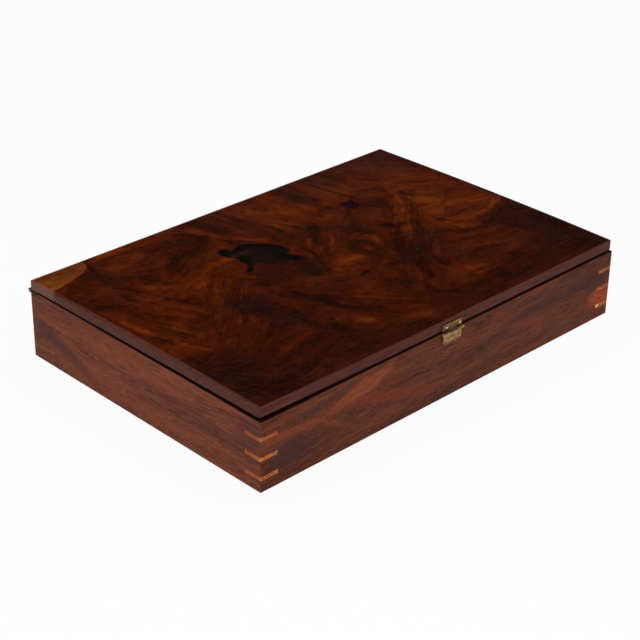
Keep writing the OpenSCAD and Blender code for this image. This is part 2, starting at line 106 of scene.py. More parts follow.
class Tree:
    """Adds nodes to a node tree. An input takes a value, a node's first output or a socket."""

    def __init__(self, tree):
        self.tree = tree

    def feed(self, socket, value):
        if isinstance(value, bpy.types.Node):
            value = value.outputs[0]
        if isinstance(value, bpy.types.NodeSocket):
            self.tree.links.new(value, socket)
        else:
            socket.default_value = value

    def node(self, kind, inputs=None, **settings):
        made = self.tree.nodes.new(kind)
        for name, value in settings.items():
            setattr(made, name, value)
        for key, value in (inputs or {}).items():
            self.feed(made.inputs[key], value)
        return made

    def math(self, operation, *values, clamp=False):
        return self.node("ShaderNodeMath", dict(enumerate(values)), operation=operation, use_clamp=clamp)

    def add(self, *values, clamp=False):
        return self.math("ADD", *values, clamp=clamp)

    def minus(self, *values):
        return self.math("SUBTRACT", *values)

    def times(self, *values):
        return self.math("MULTIPLY", *values)

    def highest(self, *values):
        return self.math("MAXIMUM", *values)

    def weigh(self, *parts):
        """Sum of values, each times its weight."""
        total = None
        for value, weight in parts:
            share = self.times(value, weight)
            total = share if total is None else self.add(total, share)
        return total

    def split(self, vector):
        return self.node("ShaderNodeSeparateXYZ", {0: vector}).outputs

    def turned(self, vector, *degrees):
        turn = tuple(math.radians(angle) for angle in degrees)
        return self.node("ShaderNodeMapping", {"Vector": vector, "Rotation": turn})

    def vector(self, operation, *values):
        return self.node("ShaderNodeVectorMath", dict(enumerate(values)), operation=operation)

    def mix(self, factor, first, second):
        """From the first colour to the second; a plain colour is given as paint takes it."""
        made = self.node("ShaderNodeMix", data_type="RGBA")
        for key, value in (("Factor", factor), (6, first), (7, second)):
            self.feed(made.inputs[key], paint(value) if isinstance(value, tuple) else value)
        return made.outputs[2]

    def span(self, value, low, high, to_low=0.0, to_high=1.0, smooth=True):
        kind = "SMOOTHSTEP" if smooth else "LINEAR"
        return self.node("ShaderNodeMapRange", {0: value, 1: low, 2: high, 3: to_low, 4: to_high},
                         interpolation_type=kind)

    def ramp(self, factor, stops):
        made = self.node("ShaderNodeValToRGB", {0: factor})
        elements = made.color_ramp.elements
        while len(elements) < len(stops):
            elements.new(0.5)
        for element, (place, colour) in zip(elements, stops):
            element.position = place
            element.color = paint(colour)
        return made

    def noise(self, vector, sizes_mm, detail, roughness=0.5, distortion=0.0):
        """Noise with cells of a size, or one for each axis, or of 1 in the vector's own units."""
        if sizes_mm is not None:
            cells = tuple(1.0 / (float(size) * MM) for size in np.broadcast_to(sizes_mm, 3))
            vector = self.vector("MULTIPLY", vector, cells)
        return self.node("ShaderNodeTexNoise", {"Vector": vector, "Scale": 1.0, "Detail": detail,
                                                "Roughness": roughness, "Distortion": distortion})

    def group(self, shared, **inputs):
        made = self.node("ShaderNodeGroup", node_tree=shared)
        for name, value in inputs.items():
            self.feed(made.inputs[name.replace("_", " ")], value)
        return made


SOCKETS = {"vector": "NodeSocketVector", "value": "NodeSocketFloat"}


def shared_group(name, inputs, outputs):
    """An empty node group with named sockets; returns the group, its Tree and its two end nodes."""
    made = bpy.data.node_groups.new(name, "ShaderNodeTree")
    for label, kind, default in inputs:
        socket = made.interface.new_socket(label, in_out="INPUT", socket_type=SOCKETS[kind])
        if default is not None:
            socket.default_value = default
    for label, kind in outputs:
        made.interface.new_socket(label, in_out="OUTPUT", socket_type=SOCKETS[kind])
    tree = Tree(made)
    return made, tree, tree.node("NodeGroupInput"), tree.node("NodeGroupOutput")


def make_grain():
    """Straight-grained wood that runs along X: broad bands, fine lines, finer streaks and pores."""
    group, tree, start, end = shared_group(
        "grain", [("Vector", "vector", None), ("Wander", "value", 6 * MM)],
        [("Bands", "value"), ("Lines", "value"), ("Fine", "value"), ("Pores", "value")])
    vector = start.outputs["Vector"]
    drift = tree.noise(vector, (80, 50, 30), 3.0)
    shift = tree.vector("SCALE", tree.vector("SUBTRACT", drift.outputs[1], (0.5, 0.5, 0.5)))
    tree.feed(shift.inputs["Scale"], tree.times(start.outputs["Wander"], 2.0))
    bent = tree.vector("ADD", vector, shift)
    bands = tree.noise(bent, (190, 15, 15), 3.0, 0.55, 0.5)
    lines = tree.noise(bent, (44, 1.5, 1.5), 3.0, 0.6, 0.3)
    fine = tree.noise(bent, (18, 0.7, 0.7), 2.0, 0.6)
    dashes = tree.noise(bent, (7, 0.55, 0.55), 2.0, 0.5)
    tree.feed(end.inputs["Bands"], tree.span(bands, 0.28, 0.72))
    tree.feed(end.inputs["Lines"], tree.span(lines, 0.34, 0.66))
    tree.feed(end.inputs["Fine"], tree.span(fine, 0.34, 0.66))
    tree.feed(end.inputs["Pores"], tree.span(dashes, 0.60, 0.72))
    return group


FIBRE_STEPS = 6
FIBRE_STRIDE = 1.1


def make_patch():
    """A soft patch of colour with a ragged border, 1 inside an ellipsoid and 0 outside."""
    group, tree, start, end = shared_group(
        "patch", [("Vector", "vector", None), ("Centre", "vector", (0, 0, 0)),
                  ("Size", "vector", (0.02, 0.02, 0.02)), ("Turn", "vector", (0, 0, 0)),
                  ("Softness", "value", 0.5), ("Ragged", "value", 0.5)],
        [("Mask", "value")])
    away = tree.vector("SUBTRACT", start.outputs["Vector"], start.outputs["Centre"])
    turned = tree.node("ShaderNodeVectorRotate", {"Vector": away, "Rotation": start.outputs["Turn"]},
                       rotation_type="EULER_XYZ")
    local = tree.vector("DIVIDE", turned, start.outputs["Size"])
    reach = tree.vector("LENGTH", local).outputs["Value"]
    rough = tree.noise(turned, (26, 6, 6), 4.0, 0.6)
    ragged = tree.times(tree.minus(rough, 0.5), start.outputs["Ragged"])
    edge = tree.add(reach, tree.times(ragged, 2.0))
    inner = tree.minus(1.0, start.outputs["Softness"])
    outer = tree.add(1.0, start.outputs["Softness"])
    tree.feed(end.inputs["Mask"], tree.span(edge, inner, outer, 1.0, 0.0))
    return group


def make_edge_wear_and_highlight():
    """How near a point lies to the long edges of a box, 1 on the edge and 0 past Width."""
    group, tree, start, end = shared_group(
        "edge wear and highlight", [("Vector", "vector", None), ("Centre", "vector", (0, 0, 0)),
                      ("Half Size", "vector", (0.1, 0.1, 0.1)), ("Width", "value", 0.002)],
        [("Mask", "value")])
    away = tree.vector("ABSOLUTE", tree.vector("SUBTRACT", start.outputs["Vector"], start.outputs["Centre"]))
    x, y, z = tree.split(tree.vector("SUBTRACT", start.outputs["Half Size"], away))
    total = tree.add(tree.add(x, y), z)
    most = tree.highest(tree.highest(x, y), z)
    near = tree.minus(total, most)
    rough = tree.noise(start.outputs["Vector"], 9, 4.0, 0.65)
    width = tree.times(start.outputs["Width"], tree.span(rough, 0.3, 0.75, 0.25, 1.9))
    tree.feed(end.inputs["Mask"], tree.span(tree.math("DIVIDE", near, width), 0.2, 1.0, 1.0, 0.0))
    return group


def make_scuffs():
    """Fine scratches in a few directions and larger dull smears, for rubbed surfaces."""
    group, tree, start, end = shared_group(
        "scuffs", [("Vector", "vector", None), ("Size", "value", 1.0)],
        [("Scratches", "value"), ("Smears", "value")])
    sized = tree.vector("SCALE", start.outputs["Vector"])
    tree.feed(sized.inputs["Scale"], tree.math("DIVIDE", 1.0, start.outputs["Size"]))
    total = None
    for turn in (0.35, 1.2, 2.3):
        turned = tree.node("ShaderNodeVectorRotate", {"Vector": sized, "Angle": turn}, rotation_type="Z_AXIS")
        lines = tree.noise(turned, (45, 0.7, 4), 2.0, 0.6)
        thin = tree.span(lines, 0.70, 0.76)
        total = thin if total is None else tree.highest(total, thin)
    smears = tree.noise(sized, (38, 30, 30), 4.0, 0.6, 0.6)
    tree.feed(end.inputs["Scratches"], total)
    tree.feed(end.inputs["Smears"], tree.span(smears, 0.35, 0.7))
    return group


def make_fibres():
    """Fine streaks along a given direction: noise averaged over a short run that way."""
    group, tree, start, end = shared_group(
        "fibres", [("Vector", "vector", None), ("Direction", "vector", (1, 0, 0)), ("Width", "value", 0.001)],
        [("Streaks", "value")])
    grown = tree.vector("SCALE", start.outputs["Vector"])
    tree.feed(grown.inputs["Scale"], tree.math("DIVIDE", 1.0, start.outputs["Width"]))
    total = None
    for step in range(-FIBRE_STEPS, FIBRE_STEPS + 1):
        offset = tree.vector("SCALE", start.outputs["Direction"])
        offset.inputs["Scale"].default_value = FIBRE_STRIDE * step
        here = tree.noise(tree.vector("ADD", grown, offset), None, 1.0)
        total = here if total is None else tree.add(total, here)
    mean = tree.math("DIVIDE", total, 2.0 * FIBRE_STEPS + 1)
    tree.feed(end.inputs["Streaks"], tree.span(mean, 0.41, 0.59, smooth=False))
    return group


GRAIN = make_grain()
FIBRES = make_fibres()
PATCH = make_patch()
EDGE_WEAR_AND_HIGHLIGHT = make_edge_wear_and_highlight()
SCUFFS = make_scuffs()


def new_material(name):
    """A material; returns it, its Tree, its Principled BSDF and its object coordinates."""
    made = bpy.data.materials.new(name)
    made.use_nodes = True
    tree = Tree(made.node_tree)
    place = tree.node("ShaderNodeTexCoord").outputs["Object"]
    return made, tree, made.node_tree.nodes["Principled BSDF"], place


def cover(tree, shader, colour, roughness, specular, normal):
    """Feeds the shader's main inputs; the specular level is always a plain number."""
    tree.feed(shader.inputs["Base Color"], colour)
    tree.feed(shader.inputs["Roughness"], roughness)
    shader.inputs["Specular IOR Level"].default_value = specular
    tree.feed(shader.inputs["Normal"], normal)


def metres(*lengths):
    return tuple(length * MM for length in lengths)


def bump(tree, height, distance_mm, strength):
    return tree.node("ShaderNodeBump", {"Height": height, "Distance": distance_mm * MM, "Strength": strength})


# Wood


HALF_LENGTH, HALF_DEPTH, _ = np.maximum(box_mm("back_board")[1], box_mm("right_board")[1])
CASE_TOP = box_mm("front_board")[1][2]

SALMON = (142, 68, 40)
ORANGE = (172, 74, 40)
PLUM = (60, 38, 38)
RUSSET = (126, 52, 32)
# Near-black of the painted shade in and under the lid's gap
PAINTED_SHADE = (10, 5, 5)

# Patches on the front board: place (x, z), half size (along, up), slope in degrees, colour,
# strength and softness
FRONT_PATCHES = [
    ((-108, 52), (36, 7.5), 12, SALMON, 0.95, 0.3),
    ((-78, 31), (42, 6), -14, RUSSET, 0.8, 0.5),
    ((-196, 44), (34, 3.5), -2, SALMON, 0.55, 0.5),
    ((-148, 34), (22, 3), -28, SALMON, 0.4, 0.6),
    ((-192, 26), (22, 12), 8, PLUM, 0.85, 0.6),
    ((-166, 54), (22, 4), 4, PLUM, 0.6, 0.6),
    ((-140, 57), (26, 3), 12, PLUM, 0.5, 0.6),
    ((-70, 21), (50, 2.6), -12, PLUM, 0.5, 0.6),
    ((100, 45), (26, 4), 2, PLUM, 0.8, 0.6),
    ((66, 33), (30, 4), 8, PLUM, 0.55, 0.7),
    ((170, 44), (46, 4.5), -1, PLUM, 0.6, 0.6),
    ((206, 40), (22, 9), -20, PLUM, 0.7, 0.6),
    ((106, 34), (26, 5), -8, RUSSET, 0.7, 0.7),
    ((213, 22.5), (17, 11), 0, ORANGE, 0.8, 0.5),
]
# Patches on the left board: place (y, z), then as above
LEFT_PATCHES = [
    ((122, 31), (30, 7), 19, PLUM, 0.7, 0.6),
    ((84, 18), (26, 5), 18, PLUM, 0.8, 0.6),
    ((104, 60), (34, 5), 0, PLUM, 0.35, 0.8),
    ((-4, 38), (34, 4), 0, PLUM, 0.4, 0.8),
    ((-80, 34), (38, 5), 2, PLUM, 0.35, 0.8),
    ((-140, 42), (18, 22), 0, PLUM, 0.55, 0.7),
    ((30, 52), (60, 9), 2, SALMON, 0.5, 0.8),
    ((20, 14), (90, 9), 0, SALMON, 0.35, 0.8),
]
PATCH_DEPTH = 6
# Painted shade of the lid's gap along the top of the boards' outer faces, deepest at the near corner, where
# the lid stands off most
GAP_SHADE_DEPTH = 0.8
GAP_SHADE_REACH = 220
GAP_SHADE_BLUR = 0.6
# Painted shade on the boards' top faces, as far in as the lid's gap lets them be seen
TOP_SHADE_WIDTH = 5.5
TOP_SHADE_RAGGED = 3.0


def board_material(name, turn, dark, middle, light, patches=(), face=None, slope=0):
    """Oiled walnut of the case; turn is the grain's direction in degrees from +X, slope its rise."""
    made, tree, shader, place = new_material(name)
    sloped = tree.turned(tree.turned(place, 0, 0, -turn), 0, slope, 0)
    bands, lines, fine, pores = tree.group(GRAIN, Vector=sloped, Wander=9 * MM).outputs
    tone = tree.weigh((bands, 0.34), (lines, 0.32), (fine, 0.34))
    colour = tree.ramp(tone, [(0.15, dark), (0.5, middle), (0.85, light)])
    for (first, up), (length, height), lean, tint, strength, softness in patches:
        tilt = math.radians(lean)
        if face == "front":
            centre, size = metres(first, -HALF_DEPTH, up), metres(length, PATCH_DEPTH, height)
            rotation = (0, tilt, 0)
        else:
            centre, size = metres(-HALF_LENGTH, first, up), metres(PATCH_DEPTH, length, height)
            rotation = (-tilt, 0, 0)
        mask = tree.group(PATCH, Vector=place, Centre=centre, Size=size, Turn=rotation,
                          Softness=softness, Ragged=0.55)
        grained = tree.mix(tree.span(lines, 0.0, 1.0, 0.0, 0.45), tint, middle)
        grained = tree.mix(tree.span(fine, 0.0, 0.6, 0.45, 0.0), grained, dark)
        colour = tree.mix(tree.times(mask, strength), colour, grained)
    colour = tree.mix(tree.times(pores, 0.55), colour, dark)
    wear = tree.group(EDGE_WEAR_AND_HIGHLIGHT, Vector=place, Centre=metres(0, 0, CASE_TOP / 2),
                      Half_Size=metres(HALF_LENGTH, HALF_DEPTH, CASE_TOP / 2), Width=1.6 * MM)
    colour = tree.mix(tree.times(wear, 0.3), colour, middle)
    scratches, smears = tree.group(SCUFFS, Vector=place, Size=1.0).outputs
    colour = tree.mix(tree.times(scratches, 0.08), colour, light)
    up = tree.split(place)[2]
    uneven = tree.minus(lines, 0.5)
    ragged = tree.add(up, tree.times(uneven, 0.5 * MM))
    # Painted shade: a near-black band along the top of the outer faces, under the lid's gap
    corner = tree.vector("SUBTRACT", place, metres(-HALF_LENGTH, -HALF_DEPTH, CASE_TOP))
    away = tree.vector("LENGTH", corner).outputs["Value"]
    foot, head = metres(CASE_TOP - GAP_SHADE_DEPTH, CASE_TOP)
    start = tree.span(away, 0.0, GAP_SHADE_REACH * MM, foot, head, smooth=False)
    gap_shade = tree.span(tree.minus(ragged, start), 0.0, GAP_SHADE_BLUR * MM)
    on_face = tree.span(up, (CASE_TOP - 0.06) * MM, (CASE_TOP - 0.01) * MM, 0.93, 0.3)
    colour = tree.mix(tree.times(gap_shade, on_face), colour, PAINTED_SHADE)
    # Painted shade: a near-black strip on the top faces, where the lid's gap lies in shadow
    clean = metres(HALF_LENGTH - TOP_SHADE_WIDTH, HALF_DEPTH - TOP_SHADE_WIDTH, 0)
    beyond = tree.split(tree.vector("SUBTRACT", tree.vector("ABSOLUTE", place), clean))
    rim = tree.add(tree.highest(beyond[0], beyond[1]), tree.times(uneven, TOP_SHADE_RAGGED * MM))
    on_top = tree.span(up, (CASE_TOP - 0.3) * MM, (CASE_TOP - 0.05) * MM, 0.0, 0.88)
    top_shade = tree.times(tree.span(rim, -1.5 * MM, 1.0 * MM), on_top)
    colour = tree.mix(top_shade, colour, PAINTED_SHADE)
    rough = tree.add(tree.span(lines, 0.0, 1.0, 0.46, 0.56), tree.times(smears, 0.08))
    height = tree.minus(tree.times(lines, 0.35), pores)
    cover(tree, shader, colour, rough, 0.06, bump(tree, height, 0.06, 0.5))
    return made


def key_material():
    """Lighter wood of the corner keys, its grain along the key, with painted shade on the box's left side and
    painted highlights on the arrises.
    """
    made, tree, shader, place = new_material("key wood")
    bands, lines = tree.group(GRAIN, Vector=tree.turned(place, 0, 0, -45), Wander=2 * MM).outputs[:2]
    tone = tree.weigh((bands, 0.4), (lines, 0.6))
    colour = tree.ramp(tone, [(0.1, (118, 54, 24)), (0.5, (162, 84, 40)), (0.9, (198, 116, 62))])
    # Painted shade: the keys' faces on the box's left side are darkened
    left_face_shade = tree.span(tree.split(place)[0], -HALF_LENGTH * MM, (0.3 - HALF_LENGTH) * MM, 0.35, 0.0)
    colour = tree.mix(left_face_shade, colour, (112, 46, 18))
    # Painted highlight: the keys' arrises are lightened
    worn = tree.group(EDGE_WEAR_AND_HIGHLIGHT, Vector=place, Centre=(0, 0, 0),
                      Half_Size=metres(HALF_LENGTH, HALF_DEPTH, 1000), Width=1.4 * MM)
    colour = tree.mix(tree.times(worn, 0.55), colour, (198, 126, 80))
    pale = tree.group(PATCH, Vector=place, Centre=metres(209, -HALF_DEPTH, 14),
                      Size=metres(2.2, 4, 1.8), Softness=0.4, Ragged=0.2)
    colour = tree.mix(pale, colour, (226, 196, 150))
    cover(tree, shader, colour, tree.span(lines, 0, 1, 0.45, 0.6), 0.1, bump(tree, lines, 0.04, 0.4))
    return made


def plain_wood(name, turn, dark, middle, light):
    """Unfinished inner wood, with dark smears of dust."""
    made, tree, shader, place = new_material(name)
    grain = tree.group(GRAIN, Vector=tree.turned(place, 0, 0, -turn), Wander=10 * MM)
    bands, lines, _, pores = grain.outputs
    tone = tree.weigh((bands, 0.6), (lines, 0.4))
    colour = tree.ramp(tone, [(0.15, dark), (0.5, middle), (0.85, light)])
    colour = tree.mix(tree.times(pores, 0.35), colour, dark)
    smears = tree.group(SCUFFS, Vector=place, Size=1.3).outputs["Smears"]
    colour = tree.mix(tree.times(smears, 0.25), colour, dark)
    rough = tree.span(lines, 0, 1, 0.6, 0.75)
    cover(tree, shader, colour, rough, 0.25, bump(tree, tree.minus(lines, pores), 0.08, 0.5))
    return made


def brass_material(name, clean, tarnish, amount, roughness):
    """Old brass: rubbed metal with brown tarnish in clouds and spots."""
    made, tree, shader, place = new_material(name)
    cloud = tree.noise(place, 3.5, 5.0, 0.7, 0.4)
    specks = tree.noise(place, 0.7, 3.0, 0.6)
    scratches = tree.group(SCUFFS, Vector=place, Size=0.12).outputs["Scratches"]
    dull = tree.add(tree.span(cloud, 0.38, 0.66), tree.span(specks, 0.58, 0.7, 0.0, 0.6), clamp=True)
    dull = tree.times(dull, amount)
    colour = tree.mix(dull, clean, tarnish)
    colour = tree.mix(tree.times(scratches, 0.4), colour, clean)
    tree.feed(shader.inputs["Metallic"], tree.span(dull, 0.2, 1.0, 0.95, 0.55))
    rough = tree.span(dull, 0.0, 1.0, roughness, roughness + 0.25)
    cover(tree, shader, colour, rough, 0.5, bump(tree, tree.minus(cloud, specks), 0.05, 0.4))
    return made


def dress(material, *names):
    for name in names:
        slots = nodes[name].material_slots
        if not slots:
            nodes[name].data.materials.append(material)
        for slot in slots:
            slot.material = material


# Dark, middle and light tones of the woods
CASE_TONES = (54, 27, 19), (89, 44, 27), (114, 59, 34)
LEFT_TONES = (72, 37, 27), (107, 55, 36), (132, 72, 46)
BOTTOM_TONES = (96, 66, 44), (126, 90, 60), (150, 112, 78)
REST_TONES = (80, 50, 36), (108, 70, 50), (130, 88, 64)
dress(board_material("case walnut front", 0, *CASE_TONES, FRONT_PATCHES, "front", slope=3), "front_board")
dress(board_material("case walnut left", 90, *LEFT_TONES, LEFT_PATCHES, "left", slope=-3), "left_board")
dress(board_material("case walnut back", 0, *CASE_TONES), "back_board")
dress(board_material("case walnut right", 90, *CASE_TONES), "right_board")
dress(key_material(), *[name for name in nodes if name.startswith("key_")])
dress(plain_wood("bottom wood", 0, *BOTTOM_TONES), "bottom_panel")
dress(plain_wood("rest wood", 0, *REST_TONES), "handle_rest", "blade_rest")

# Brasses: clean colour, tarnish, how much of it, roughness and the pieces of each
BRASSES = {
    "hinge": ((106, 86, 54), (42, 33, 24), 1.0, 0.42, ["hinge_leaf_case", "hinge_leaf_lid", "hinge_pin"]),
    "hasp plate": ((138, 106, 62), (56, 40, 25), 1.0, 0.36, ["hasp_plate", "keeper_plate"]),
    "hasp flap": ((174, 132, 80), (80, 56, 34), 0.9, 0.36, ["hasp_flap"]),
    "pin": ((228, 204, 158), (120, 94, 60), 0.3, 0.3, ["hasp_plate_pins", "hasp_hinge_pin", "keeper_pins"]),
    "screw": ((170, 138, 80), (70, 54, 36), 0.85, 0.35,
              ["hinge_screws_case", "hinge_screws_lid", "bottom_screws"]),
}
for name, (*look, pieces) in BRASSES.items():
    dress(brass_material(name + " brass", *look), *pieces)


# Figure of the lid, on a grid over its plan

LID_LOW, LID_HIGH = box_mm("lid_panel")
LID_LEFT, LID_RIGHT = LID_LOW[0], LID_HIGH[0]
LID_FRONT, LID_BACK = LID_LOW[1], LID_HIGH[1]
LID_UNDER = box_mm("hinge_leaf_lid")[1][2]

